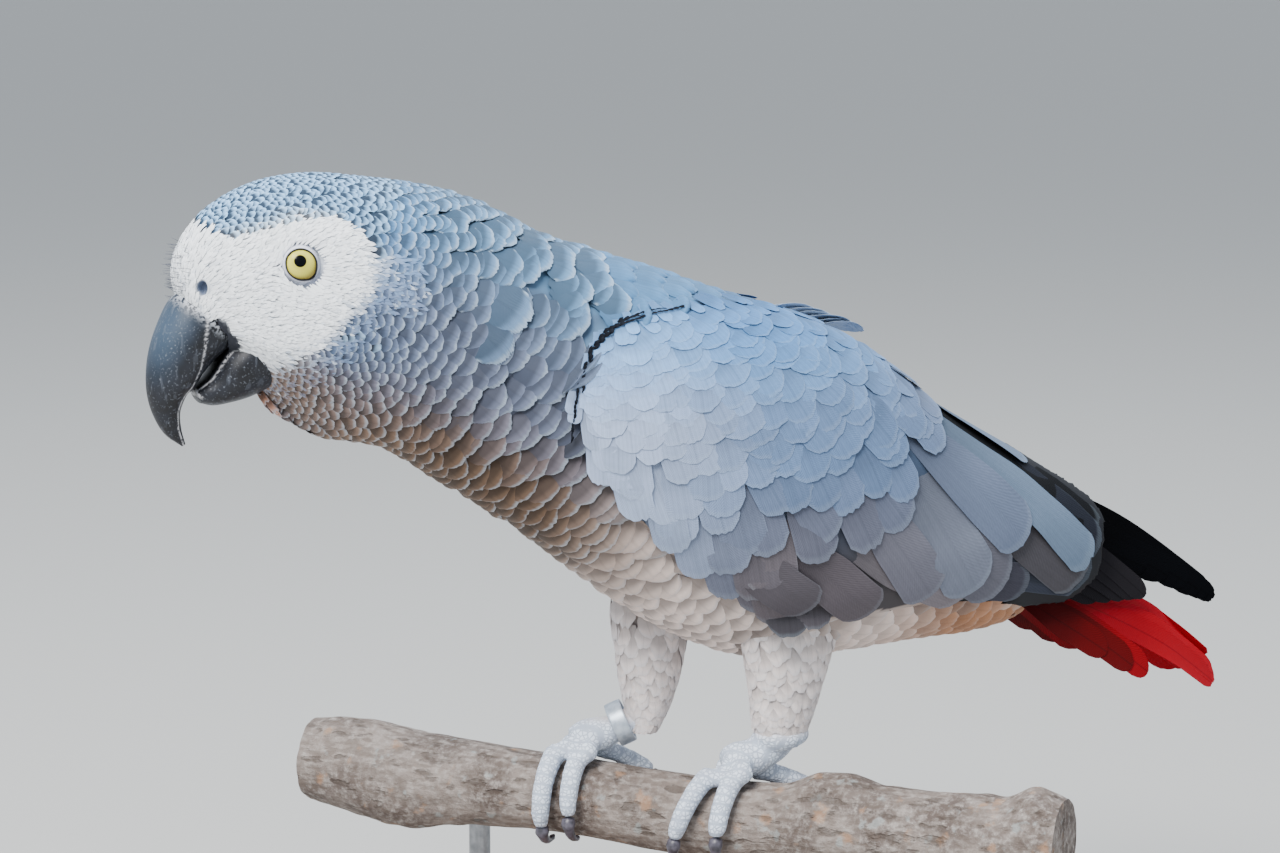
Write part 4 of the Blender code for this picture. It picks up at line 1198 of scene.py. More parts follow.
def build_wing(side, name, look, rear_look):
    """The folded wing's feathers, laid from its lower rim up to the shoulder."""
    sheet, on_wing = wing_sheet(side, name)
    flat_x, flat_z = unrolled(sheet)
    rows, columns = on_wing.shape
    u_of = np.linspace(*sheet.first, rows)[:, None] * np.ones((1, columns))
    v_of = np.linspace(*sheet.second, columns)[None] * np.ones((rows, 1))
    away = np.hypot(flat_x - WING_FAN[0], flat_z - WING_FAN[1])
    bearing = np.degrees(np.arctan2(flat_z - WING_FAN[1], flat_x - WING_FAN[0]))
    bearings = np.linspace(-95, 0, 381)
    inner, outer = np.full((2, len(bearings)), np.nan)
    for k, b in enumerate(bearings):
        near = on_wing & (np.abs(bearing - b) < 0.8)
        if near.sum() > 3:
            inner[k], outer[k] = away[near].min(), away[near].max()
    known = ~np.isnan(outer)
    ray, low_ray, high_ray = bearings[known], inner[known], outer[known]
    coat = Coat("coat_" + name)
    beside = sheet.grid[~on_wing][::3]

    def seated(want_x, want_z, flat=True):
        """Coordinates of the sheet nearest to wanted places."""
        grid_x, grid_z = (flat_x, flat_z) if flat else (sheet.grid[..., 0] / MM, sheet.grid[..., 2] / MM)
        off = (grid_x[None] - want_x[:, None, None]) ** 2 + (grid_z[None] - want_z[:, None, None]) ** 2
        nearest = off.reshape(len(want_x), -1).argmin(axis=1)
        return u_of.ravel()[nearest], v_of.ravel()[nearest]

    for inset, length, width in WING_ROWS:
        b = ray.min() + RANDOM.uniform(0, 1)
        roots, sizes = [], []
        while b < ray.max() + 0.5:
            rim, start = np.interp(b, ray, high_ray), np.interp(b, ray, low_ray)
            extent = (rim - start) / 100
            share = 0.35 + 0.65 * min(extent, 1.1)
            tip = rim - inset * (rim - start)
            spread = width * share * RANDOM.uniform(0.88, 1.14)
            long = min(length * share, max(tip - start + 6, 6.0)) * RANDOM.uniform(0.94, 1.04)
            roots.append((b, tip - long))
            sizes.append((long, spread))
            b += math.degrees(spread / max(tip, 20.0))
        roots, sizes = np.array(roots), np.array(sizes)
        turn = np.radians(roots[:, 0] + RANDOM.normal(0, 0.5, len(roots)))
        away_from = roots[:, 1] + RANDOM.normal(0, 0.05, len(roots)) * sizes[:, 0] * (inset > 0)
        u, v = seated(WING_FAN[0] + away_from * np.cos(turn), WING_FAN[1] + away_from * np.sin(turn))
        place = sheet.at(u, v)
        heading = unit(fan_lie(place, None))
        tips = place + heading * (sizes[:, :1] * 0.92 * MM)
        middle = place + heading * (sizes[:, :1] * 0.35 * MM)
        room = np.array([np.linalg.norm(beside - spot, axis=1).min() for spot in middle]) / MM
        spread = np.minimum(sizes[:, 1] * 1.5, np.maximum(2.0 * room - 1.0, 3.6))
        tip_x, tip_z = tips[:, 0] / MM, tips[:, 2] / MM
        crease = look_up(CREASE, tip_x)[:, 0]
        kept = ~rear_room(tip_x, tip_z) & ((tip_z < crease - 3.0) | (tip_x > -6)) & (room > 0.9)
        tone = RANDOM.uniform(-0.07, 0.05, (len(u), 1)) * (1.5 - inset)
        tint = wing_tint(tips) * (1 + tone)
        depth = np.clip(sizes[:, 0] * 0.075, 0.7, 2.2)
        coat.add(sheet, u[kept], v[kept], fan_lie, sizes[kept, 0], spread[kept], depth[kept],
                 RANDOM.uniform(0.0, 0.25, kept.sum()), tint[kept], (9, 13) if inset < 0.47 else (7, 13),
                 ragged=0.012, hollow=0.09, thickness=0.12, sway=RANDOM.normal(0, 0.10, kept.sum()),
                 roll=RANDOM.normal(0, 0.07, kept.sum()), waist=0.62, blunt=1.0, fringe=0.008)
    coat.finish(look, [name])
    coat = Coat("coat_rear_" + name)
    for root_x, root_z, tip_x, tip_z, width, lift, card in REAR_FEATHERS:
        u, v = seated(np.array([root_x]), np.array([root_z]), flat=False)
        start = sheet.at(u, v)[0]
        heading = unit(np.array([tip_x * MM - start[0], 0, tip_z * MM - start[2]]))
        end_u, end_v = seated(np.array([tip_x]), np.array([tip_z]), flat=False)
        length = np.linalg.norm(sheet.at(end_u, end_v)[0] - start) / MM
        coat.add(sheet, u, v, straight(heading), length, width, 2.0, lift, srgb(*card), (20, 17),
                 ragged=0.004, hollow=0.10, thickness=0.2, waist=0.55, blunt=0.9 if width > 12.2 else 1.3,
                 curl=0.05)
    # Small dark feathers along the crease where the neck's coat meets the wing: painted shade in that gap.
    count = 150
    line = resample(CREASE, np.linspace(0, len(CREASE) - 1, count)) + RANDOM.normal(0, 0.12, (count, 2))
    trend = unit(np.gradient(blurred(line[:, None], 4, False)[:, 0], axis=0))
    u, v = seated(line[:, 0], line[:, 1], flat=False)

    def along_crease(places, along):
        off = np.hypot(places[:, :1] / MM - line[:, 0], places[:, 2:] / MM - line[:, 1]).argmin(axis=1)
        return np.stack([trend[off, 0], 0 * off, trend[off, 1]], axis=-1)

    broad = 0.35 + 0.75 * np.exp(-((line[:, 0] + 32) / 6.0) ** 2)
    coat.add(sheet, u, v, along_crease, 2.2, broad * RANDOM.uniform(0.8, 1.2, count), 0.1,
             RANDOM.uniform(0.3, 0.6, count), srgb(20, 24, 34), (5, 3), ragged=0.05, hollow=0.1,
             sway=RANDOM.normal(-0.05, 0.12, count), blunt=3.0)
    if side > 0:
        count = 9
        want_x, want_z = np.linspace(31, 46, count), np.linspace(210.0, 206.5, count)
        u, v = seated(want_x, want_z, flat=False)
        coat.add(sheet, u, v, straight((1.0, 0.0, 0.1)), 18.0, 10.0, 0.5, np.linspace(6.5, 9.0, count),
                 srgb(184, 200, 220), (9, 13), ragged=0.02, hollow=0.1, thickness=0.14,
                 sway=RANDOM.normal(0, 0.1, count), fringe=0.01)
    coat.finish(rear_look)


def side_sheet(name, side, x_range, z_range):
    """The outer face of a thin upright node over X and Z."""
    x = np.linspace(*x_range, 60) * MM
    z = np.linspace(*z_range, 40) * MM
    starts = np.stack(np.broadcast_arrays(x[:, None], side * 0.1, z[None]), axis=-1)
    reach = reach_of(search_tree([name]), starts, (0, -side, 0), 0.2)
    y = side * (0.1 - blurred(filled(reach)[..., None], 14, False)[..., 0])
    grid = np.stack([starts[..., 0], y, starts[..., 2]], axis=-1)
    ranges = [(r[0] * MM, r[1] * MM) for r in (x_range, z_range)]
    return Sheet(grid, *ranges, outward=-side)


def build_primaries(look):
    """The long dark feathers behind each wing."""
    for name, side in SIDES:
        sheet = side_sheet("primaries_" + name, side, (88, 180), (112, 170))
        coat = Coat("coat_primaries_" + name)
        for k, (root_x, root_z, tip_x, tip_z, width) in enumerate(PRIMARIES[name]):
            chord = (tip_z - root_z) / (tip_x - root_x)
            middle = (tip_x + root_x) / 2

            def drooping(places, along):
                slope = chord - 0.008 * (places[:, 0] / MM - middle)
                return np.stack([np.ones(len(places)), np.zeros(len(places)), slope], axis=-1)

            length = math.hypot(tip_x - root_x, tip_z - root_z) * 1.01
            tint = mixed(0.0 if name == "right" else 0.10, COAL, WING_LOW)
            coat.add(sheet, np.array([root_x * MM]), np.array([root_z * MM]), drooping, length, width,
                     0.1 + 0.12 * k, 0.1 - 0.12 * k, tint, (30, 15), ragged=0.003, hollow=0.06,
                     thickness=0.4, waist=0.7, blunt=1.7)
        coat.finish(look, ["primaries_" + name])


def build_tail(look):
    """Twelve scarlet feathers laid as a steep roof, the middle pair on top and longest."""
    across = np.linspace(-1.15, 1.15, 61)
    along = np.linspace(0, 1.12, 50)
    rows = resample(TAIL, np.clip(along, 0, 1) * (len(TAIL) - 1))
    over = np.maximum(along - 1, 0)[:, None]
    slope = rows[-1] - rows[-4]
    x = rows[:, :1] + over * slope[0] * 16 + 0 * across
    z = rows[:, 1:2] + over * slope[1] * 16 - rows[:, 3:] * np.abs(across) ** 1.4
    grid = np.stack([x, rows[:, 2:3] * across, z], axis=-1) * MM
    sheet = Sheet(grid, (0, 1.12), (-1.15, 1.15))
    coat = Coat("coat_tail")
    for k, (down, aside) in enumerate(TAIL_TIPS):
        place = (k + 0.5) / len(TAIL_TIPS)
        for side in (-1, 1):
            start = sheet.at(np.array([0.0]), np.array([side * place * 0.8]))
            end = sheet.at(np.array([down]), np.array([side * aside]))
            length = np.linalg.norm(end - start) / MM * 1.02
            heading = unit(end - start)
            # Outer feathers, which hang lowest on the roof's sides, are painted deeper red: painted shade.
            tint = mixed(smooth(0.35, 0.75, place), SCARLET, DEEP_RED)
            coat.add(sheet, np.array([0.0]), np.array([side * place * 0.8]),
                     straight(heading), length, 10.0, 0.5 + 0.38 * k, 0.2 - 0.38 * k, tint, (24, 15),
                     ragged=0.003, hollow=0.10, thickness=0.35, waist=0.5 if k else 0.9, blunt=1.3,
                     roll=-0.2 * side)
            # A thin pale pink blade along each side of the roof: a painted highlight, the light streak along
            # the tail's side.
            if k == 1:
                coat.add(sheet, np.array([0.22]), np.array([side * 0.30]), straight(heading),
                         length * 0.66, 1.7, 0.2, 0.55, srgb(214, 92, 92), (20, 7), ragged=0.004,
                         thickness=0.3, blunt=1.6)
    coat.finish(look, ["tail"])


def thigh_sheet(name):
    """The outside of a feathered thigh, over its length and the turn round its middle."""
    turns = np.linspace(0, 2 * math.pi, 48, endpoint=False)[None]
    rows = THIGHS[name]
    x, y, z, half_length, half_width = resample(rows, np.linspace(0, len(rows) - 1, 60)).T[..., None]
    grid = np.stack(
        [x + half_length * np.cos(turns), y - half_width * np.sin(turns), z + 0 * turns], axis=-1)
    return Sheet(grid * MM, (0, 1), (0, 2 * math.pi), around=True)


def thigh_lie(places, along):
    """Thigh feathers lie downwards and a little back."""
    lie = unit(along)
    lie[:, 0] += 0.12
    return lie


def build_thighs(look):
    """Cream feathers down to the heels."""
    coat = Coat("coat_thighs")
    for name, rows in THIGHS.items():
        sheet = thigh_sheet(name)
        span = rows[0][2] - rows[-1][2]
        reach, row = 8.0, 0
        while reach < span - 2.0:
            share = reach / span
            step = 2.9 - 1.1 * share
            width = 4.2 - 1.4 * share
            around = 2 * math.pi * math.hypot(*rows[int(share * (len(rows) - 1))][3:]) / 1.414
            count = int(round(around / width))
            places = np.arange(count) + 0.5 * (row % 2) + RANDOM.uniform(-0.2, 0.2, count)
            u = np.full(count, share) + RANDOM.uniform(-0.03, 0.03, count)
            tint = mixed(RANDOM.random(count) * 0.35, IVORY, CREAM)
            coat.add(sheet, u, places * 2 * math.pi / count, thigh_lie,
                     step * RANDOM.uniform(2.9, 3.6, count), width * 1.30, 0.9 - 0.3 * share,
                     RANDOM.uniform(0.05, 0.35, count), tint, (6, 7), ragged=0.05, hollow=0.22,
                     sway=RANDOM.normal(0, 0.12, count), fringe=0.03, blunt=1.6)
            reach += step
            row += 1
    coat.finish(look)


def build_loose_feathers(look, dark_look):
    """Feathers that stand out alone: two on the neck, salmon ones under the bill, and dark
    ones that hang below the wing."""
    coat = Coat("loose_feathers")
    coat.add(BODY_SHEET, np.array([7.55, 7.4]), np.radians([66.0, 80.0]), body_lie,
             np.array([14.0, 11.5]), np.array([12.5, 12.0]), 0.5, np.array([1.9, 1.7]),
             mixed(np.array([0.35, 0.5]), SLATE, DUSK), (16, 41), hollow=0.24, fringe=0.025,
             sway=np.array([-0.1, -0.25]), roll=0.3, hook=1.0)
    u = np.array([1.75, 1.85, 1.95, 2.05, 2.15, 1.9, 2.1])
    v = np.radians([176, 182, 171, 187, 178, 192, 168])
    coat.add(BODY_SHEET, u, v, body_lie, RANDOM.uniform(5, 7, 7), 2.0, 0.3, RANDOM.uniform(1.0, 2.4, 7),
             np.array([SALMON] * 7), (8, 5), ragged=0.08, hollow=0.1)
    coat.finish(look)
    sheet = thigh_sheet("left")
    coat = Coat("hanging_feathers")
    coat.add(sheet, np.array([0.01, 0.02]), np.radians([118.0, 96.0]), thigh_lie, np.array([15.0, 13.0]),
             12.0, -6.0, 7.5, mixed(np.array([0.0, 0.35]), WING_SHADE, WING_LOW), (12, 13), ragged=0.015,
             hollow=0.1)
    coat.finish(dark_look)


# ------------------------------------------------------------------ skin
def grown(mesh, distance):
    """A copy of a mesh's points and faces, with its points moved out along their normals."""
    work = bmesh.new()
    work.from_mesh(mesh)
    bmesh.ops.remove_doubles(work, verts=work.verts, dist=1e-6)
    work.normal_update()
    for vertex in work.verts:
        vertex.co += vertex.normal * distance
    return work


def largest_shell(points, faces, edges):
    """Only the biggest connected part of a mesh."""
    label = np.arange(len(points))
    while True:
        low = np.minimum(label[edges[:, 0]], label[edges[:, 1]])
        fresh = label.copy()
        np.minimum.at(fresh, edges[:, 0], low)
        np.minimum.at(fresh, edges[:, 1], low)
        fresh = fresh[fresh]
        if (fresh == label).all():
            break
        label = fresh
    biggest = np.bincount(label).argmax()
    kept = label == biggest
    renumber = np.cumsum(kept) - 1
    return points[kept], renumber[faces[kept[faces[:, 0]]]]


def remeshed(work, voxel):
    """One closed surface round everything in a working mesh."""
    mesh = bpy.data.meshes.new("whole")
    work.to_mesh(mesh)
    work.free()
    holder = bpy.data.objects.new("whole", mesh)
    bpy.context.scene.collection.objects.link(holder)
    change = holder.modifiers.new("whole", "REMESH")
    change.mode = "VOXEL"
    change.voxel_size = voxel
    bpy.context.view_layer.update()
    made = bpy.data.meshes.new_from_object(
        holder.evaluated_get(bpy.context.evaluated_depsgraph_get()))
    bpy.data.objects.remove(holder)
    points = np.empty(len(made.vertices) * 3, np.float32)
    made.vertices.foreach_get("co", points)
    faces = np.empty(len(made.loops), np.int32)
    made.loops.foreach_get("vertex_index", faces)
    edges = np.empty(len(made.edges) * 2, np.int32)
    made.edges.foreach_get("vertices", edges)
    return largest_shell(points.reshape(-1, 3).astype(float), faces.reshape(-1, 4), edges.reshape(-1, 2))


def relaxed(points, faces, times):
    """Points evened out with their neighbours, without shrinking."""
    ends = np.concatenate([faces[:, [0, 1]], faces[:, [1, 2]], faces[:, [2, 3]], faces[:, [3, 0]]])
    count = np.bincount(ends.ravel(), minlength=len(points))[:, None]
    for k in range(2 * times):
        total = np.stack([
            np.bincount(ends[:, 0], points[ends[:, 1], c], len(points))
            + np.bincount(ends[:, 1], points[ends[:, 0], c], len(points)) for c in range(3)], axis=-1)
        points = points + (total / count - points) * (0.5 if k % 2 == 0 else -0.52)
    return points


def eye_frame(side, aim):
    """An eye's middle, its outward axis, and the axes backwards and upwards across it."""
    centre = np.array([EYE_PLACE[0], side * EYE_PLACE[1], EYE_PLACE[2]]) * MM
    axis = unit(np.array([aim[0], side * aim[1], aim[2]]))
    back = unit(np.array([1.0, 0, 0]) - axis * axis[0])
    return centre, axis, back, np.cross(back, axis) * side * -1


def lid_reach(turn):
    """How far the lids' edge is from the eye's middle, by direction."""
    corner = np.exp(-((np.degrees(turn) - 48) / 20) ** 2) * 0.55
    front = np.exp(-((np.abs(np.degrees(turn)) - 160) / 30) ** 2) * 0.1
    return EYE_OPENING + corner + front + 0.12 * np.cos(2 * (turn - math.radians(50)))


def nearest_mean(points, place, count):
    """The middle of the few points that are nearest to a place."""
    return points[np.argsort(np.linalg.norm(points - place, axis=1))[:count]].mean(axis=0)


def wing_share(points):
    """1 where points lie on a wing rather than on the body."""
    wings, body = search_tree(["wing_left", "wing_right"]), search_tree(["head", "neck", "trunk"])
    return np.array([
        wings.find_nearest(Vector(p))[3] < body.find_nearest(Vector(p))[3] for p in points], float)


def build_skin(look):
    """One skin under the whole coat, with the eyelids and nostrils, and the bare feet."""
    work = bmesh.new()
    for name in FLESH + ["wing_left", "wing_right"]:
        growth = TOE_GROWTH if name.startswith(("toe", "foot")) else SKIN_GROWTH
        part = grown(NODES[name].data, growth * MM)
        mesh = bpy.data.meshes.new("part")
        part.to_mesh(mesh)
        part.free()
        work.from_mesh(mesh)
    for side, _ in SIDES:
        foot = np.array([v.co for v in NODES["foot_" + side].data.vertices])
        for toe in TOES:
            points = np.array([v.co for v in NODES[f"toe_{toe}_{side}"].data.vertices])
            root = nearest_mean(points, foot.mean(axis=0), 10)
            joint = nearest_mean(foot, root, 10)
            for share in (0.0, 0.35, 0.7, 1.0):
                spot = Vector(root * (1 - share) + joint * share)
                bmesh.ops.create_uvsphere(work, u_segments=16, v_segments=10, radius=2.5 * MM,
                                          matrix=Matrix.Translation(spot))
    for side in (-1, 1):
        centre = Vector((EYE_PLACE[0], side * (EYE_PLACE[1] - 1.0), EYE_PLACE[2])) * MM
        bmesh.ops.create_uvsphere(work, u_segments=24, v_segments=16, radius=EYE_RADIUS * MM,
                                  matrix=Matrix.Translation(centre))
    points, faces = remeshed(work, SKIN_CELL)
    points = relaxed(points, faces, 8)
    mesh = bpy.data.meshes.new("skin")
    mesh.from_pydata(points.tolist(), [], faces.tolist())
    work = bmesh.new()
    work.from_mesh(mesh)
    for eye_room, nostril_room in ((0.0095, 0.0045), (0.0080, 0.0032)):
        spots = [(Vector((p[0], s * p[1], p[2])) * MM, room) for s in (-1, 1) for p, room in (
            ((EYE_PLACE[0], EYE_PLACE[1] + 4, EYE_PLACE[2]), eye_room), (NOSTRIL, nostril_room))]
        close = [e for e in work.edges if any((e.verts[0].co - p).length < room for p, room in spots)]
        bmesh.ops.subdivide_edges(work, edges=close, cuts=1, use_grid_fill=True)
    bmesh.ops.triangulate(work, faces=[f for f in work.faces if len(f.verts) > 4])
    work.normal_update()
    count = len(work.verts)
    points = np.array([v.co for v in work.verts])
    normals = np.array([v.normal for v in work.verts])
    x, y, z = points.T / MM
    bare = smooth(103.5, 99.5, z)
    head = smooth(-60, -80, x)
    depth = 1.5 + 0 * x
    depth = depth + (0.75 - depth) * head
    depth = depth + (0.30 - depth) * head * face_share(points)
    depth = depth + (0.9 - depth) * smooth(118, 110, z)
    depth = depth * (1 - bare) + SKIN_GROWTH + (TOE_GROWTH - SKIN_GROWTH) * bare
    points = points - normals * (depth * MM)[:, None]
    lid, pit = np.full(count, 3.0), np.zeros(count)
    for side in (-1, 1):
        centre, axis, back, up = eye_frame(side, LID_AIM)
        offset = points - centre
        across, rise, out = (dot(offset, k)[:, 0] / MM for k in (back, up, axis))
        radius = np.hypot(across, rise)
        turn = np.arctan2(rise, across)
        share = radius / lid_reach(turn)
        near = (share < 2.3) & (out > 0.5)
        ball = np.sqrt(np.maximum(EYE_RADIUS**2 - radius**2, 0.05))
        lip = ball + 0.42 + 0.25 * np.exp(-((share - 1.10) / 0.10) ** 2)
        fold = 0.16 * np.sin((share - 1.0) * 19.0) * smooth(1.05, 1.2, share) * smooth(2.2, 1.5, share)
        wanted = np.where(share < 1, ball - 1.2, lip) + fold
        wanted = wanted + (out - wanted) * smooth(1.25, 2.0, share)
        wanted = np.where(share < 1.0, (ball - 1.2) + (lip - ball + 1.2) * smooth(0.90, 1.0, share), wanted)
        shift = np.where(near, wanted - out, 0) * MM
        points = points + axis[None] * shift[:, None]
        lid = np.where(near, np.maximum(share, 0.5), lid)
        hole = np.array([NOSTRIL[0], side * NOSTRIL[1], NOSTRIL[2]]) * MM
        gap = (points - hole) / MM
        spread = np.linalg.norm(gap / np.array(NOSTRIL_RADII), axis=1)
        sunk = smooth(1.0, 0.62, spread)
        pit = np.maximum(pit, smooth(1.05, 0.85, spread))
        rim = 0.35 * np.exp(-((spread - 1.15) / 0.15) ** 2)
        points = points - normals * ((sunk * 2.4 - rim) * MM)[:, None]
    for vertex, place in zip(work.verts, points):
        vertex.co = place
    work.to_mesh(mesh)
    work.free()
    tint = body_tint(points, normals)
    tint = mixed(smooth(122, 112, z), tint, IVORY)
    tint = mixed(wing_share(points) * smooth(118, 122, z), tint, wing_tint(points) * 0.8)
    tint = mixed(pit, tint, srgb(112, 124, 148))
    # Where the rear feathers part on a wing the skin is painted near-black: partly the black flight feathers
    # beneath, partly painted shade between the feathers.
    black_and_shade = smooth(60, 66, x) * wing_share(points) * smooth(125, 130, z)
    tint = mixed(black_and_shade, tint, srgb(22, 24, 34))
    corner = np.min([np.hypot(x - spot[0], z - spot[2]) for spot in GAPE_CORNER], axis=0)
    tint = mixed(smooth(2.4, 1.9, corner), tint, srgb(40, 43, 52))
    forward = np.array([math.sin(PERCH_HEADING), -math.cos(PERCH_HEADING)])
    off_axis = x * forward[0] + y * forward[1]
    wrap = np.arctan2(off_axis, z - PERCH_HEIGHT) * 14.5
    keep(mesh, "bare", np.stack([bare, wrap, lid], axis=-1))
    # The skin is painted darker where the coat lies over it: painted shade in the gaps between feathers.
    painted_shade_under_coat = smooth(118, 126, z) * (1 - face_share(points))
    keep(mesh, "tint", tint * (0.85 + 0.12 * bare - 0.37 * painted_shade_under_coat)[:, None], "FLOAT_COLOR")
    print("skin", sum(len(p.vertices) - 2 for p in mesh.polygons), "triangles")
    piece_of("skin", mesh, look, FLESH)


# ------------------------------------------------------------------ bill, eyes, claws
def lofted(name, grid, look, replaces=()):
    """A closed piece through rings of points, its ends drawn together to a point."""
    rings = np.concatenate([
        grid[:1] * 0 + grid[:1].mean(axis=1, keepdims=True), grid,
        grid[-1:] * 0 + grid[-1:].mean(axis=1, keepdims=True)])
    faces = grid_faces(rings.shape[0], rings.shape[1], around=True)[:, ::-1]
    return mesh_piece(name, rings.reshape(-1, 3), faces, look, replaces), rings


def build_bill(look):
    """Both halves of the bill, with worn edges, a painted sheen along the ridge, and the dark inside between
    them.
    """
    count = 128
    angles = np.linspace(0, 2 * math.pi, count, endpoint=False)
    for name, rows in (("bill_upper", UPPER_BILL), ("bill_lower", LOWER_BILL)):
        stations = np.linspace(0, len(rows) - 1, 150)
        grid = sections(rows, stations, angles)
        made, rings = lofted(name + "_horn", grid, look, [name])
        share = np.linspace(0, 1, len(rings))[:, None] * np.ones((1, count))
        front = np.cos(angles)[None] * np.ones((len(rings), 1))
        if name == "bill_upper":
            off_line = rings[..., 0] / MM - look_up(TOMIUM, rings[..., 2] / MM)[..., 0]
            edge = np.exp(-(off_line / 0.22) ** 2) * smooth(-0.97, -0.80, front)
            edge = np.maximum(edge, smooth(0.80, 0.97, share) * smooth(0.90, 0.99, front) * 0.6)
            mouth = smooth(-0.80, -0.92, front) * smooth(0.60, 0.50, share)
            # where the painted bluish sheen lies along the upper bill's top
            ridge = smooth(0.0, 0.9, front) * smooth(0.05, 0.2, share) * smooth(0.60, 0.25, share)
            scuff = smooth(0.17, 0.05, share)
        else:
            edge = np.exp(-((front + 0.80) / 0.035) ** 2)
            edge = np.maximum(edge, smooth(0.90, 0.98, share) * smooth(0.3, -0.2, front))
            mouth = smooth(-0.84, -0.92, front)
            # a faint painted sheen along the lower bill's underside
            ridge = 0.2 * smooth(0.2, 0.9, front)
            scuff = 0 * share
        keep(made.data, "wear_and_sheen", np.stack([edge, ridge, scuff], axis=-1).reshape(-1, 3))
        keep(made.data, "mouth", np.stack([mouth, 0 * mouth, 0 * mouth], axis=-1).reshape(-1, 3))


def build_eyes(look):
    """Clear round eyes."""
    rows, columns = 72, 64
    turns = np.linspace(0, 2 * math.pi, columns, endpoint=False)
    falls = np.linspace(0.001, math.pi - 0.001, rows)
    for name, side in SIDES:
        centre, axis, back, up = eye_frame(side, EYE_AIM)
        ring = (back * np.cos(turns)[:, None] + up * np.sin(turns)[:, None])[None]
        grid = centre + EYE_RADIUS * MM * (
            axis * np.cos(falls)[:, None, None] + ring * np.sin(falls)[:, None, None])
        faces = grid_faces(rows, columns, around=True)
        made = mesh_piece("eyeball_" + name, grid.reshape(-1, 3), faces if side < 0 else faces[:, ::-1],
                          look, ["eye_" + name])
        from_axis = EYE_RADIUS * np.sin(falls)[:, None] + np.where(falls > math.pi / 2, 5.0, 0.0)[:, None]
        values = np.broadcast_arrays(from_axis, turns[None], 0.0)
        keep(made.data, "iris", np.stack(values, axis=-1).reshape(-1, 3))


def build_claws(look):
    """Smooth horn claws from the frame's own."""
    for toe in TOES:
        for side, _ in SIDES:
            name = f"claw_{toe}_{side}"
            work = grown(NODES[name].data, 0.0)
            bmesh.ops.subdivide_edges(work, edges=work.edges, cuts=1, use_grid_fill=True, smooth=0.6)
            mesh = bpy.data.meshes.new(name)
            work.to_mesh(mesh)
            work.free()
            piece_of(name + "_horn", mesh, look, [name])


def build_ring(look):
    """The leg ring, rounded and smooth, measured from the frame's own."""
    points = np.array([v.co for v in NODES["leg_ring"].data.vertices])
    centre = (points.min(axis=0) + points.max(axis=0)) / 2
    spread, axes = np.linalg.eigh(np.cov((points - centre).T))
    alone = 0 if spread[1] - spread[0] > spread[2] - spread[1] else 2
    axis, first, second = axes[:, alone], axes[:, (alone + 1) % 3], axes[:, (alone + 2) % 3]
    height = (points - centre) @ axis
    radius = np.linalg.norm(points - centre - height[:, None] * axis, axis=1)
    outer, inner, half = radius.max(), radius.min(), np.abs(height).max()
    rows, columns = 72, 24
    turns = np.linspace(0, 2 * math.pi, rows, endpoint=False)
    corners = np.linspace(0, 2 * math.pi, columns, endpoint=False)
    across = np.sign(np.cos(corners)) * np.abs(np.cos(corners)) ** 0.4 * (outer - inner) / 2
    along = np.sign(np.sin(corners)) * np.abs(np.sin(corners)) ** 0.4 * half
    out = first * np.cos(turns)[:, None] + second * np.sin(turns)[:, None]
    reach = (outer + inner) / 2 + across
    grid = centre + out[:, None] * reach[None, :, None] + axis * along[None, :, None]
    faces = grid_faces(rows + 1, columns, around=True) % (rows * columns)
    made = mesh_piece("ring_band", grid.reshape(-1, 3), faces, look, ["leg_ring"])
    face = made.data.polygons[0]
    if face.normal.dot(Vector(face.center - Vector(centre + out[0] * (outer + inner) / 2))) < 0:
        made.data.flip_normals()


def build_branch(look):
    """The branch with the relief of its bark."""
    heading = np.array([math.cos(PERCH_HEADING), math.sin(PERCH_HEADING), 0])
    forward = np.array([math.sin(PERCH_HEADING), -math.cos(PERCH_HEADING), 0])
    tree = search_tree(["perch_branch"])
    rows, columns, far = 300, 144, 0.04
    along = np.linspace(-PERCH_HALF_LENGTH, PERCH_HALF_LENGTH, rows) * MM
    turns = np.linspace(0, 2 * math.pi, columns, endpoint=False)
    out = forward * np.sin(turns)[:, None] + np.array([0, 0, 1.0]) * np.cos(turns)[:, None]
    centres = heading * along[:, None] + np.array([0, 0, PERCH_HEIGHT * MM])
    starts = centres[:, None] + out[None] * far
    radius = far - reach_of(tree, starts, -out[None], far)
    radius = blurred(filled(radius)[..., None], 3, True)
    lumps = RANDOM.normal(0, 1, (rows, columns, 1))
    broad, fine = blurred(lumps, 60, True), blurred(lumps, 6, True)
    relief = broad / broad.std() * 0.16 + fine / fine.std() * 0.08
    grip = smooth(0.052, 0.060, np.abs(along + 0.002))[:, None, None]
    radius = radius - 0.12 * MM + relief * MM * (0.35 + 0.65 * grip)
    grid = centres[:, None] + out[None] * radius
    made, _ = lofted("branch", grid, look, ["perch_branch"])
    made.data.set_sharp_from_angle(angle=math.radians(60))


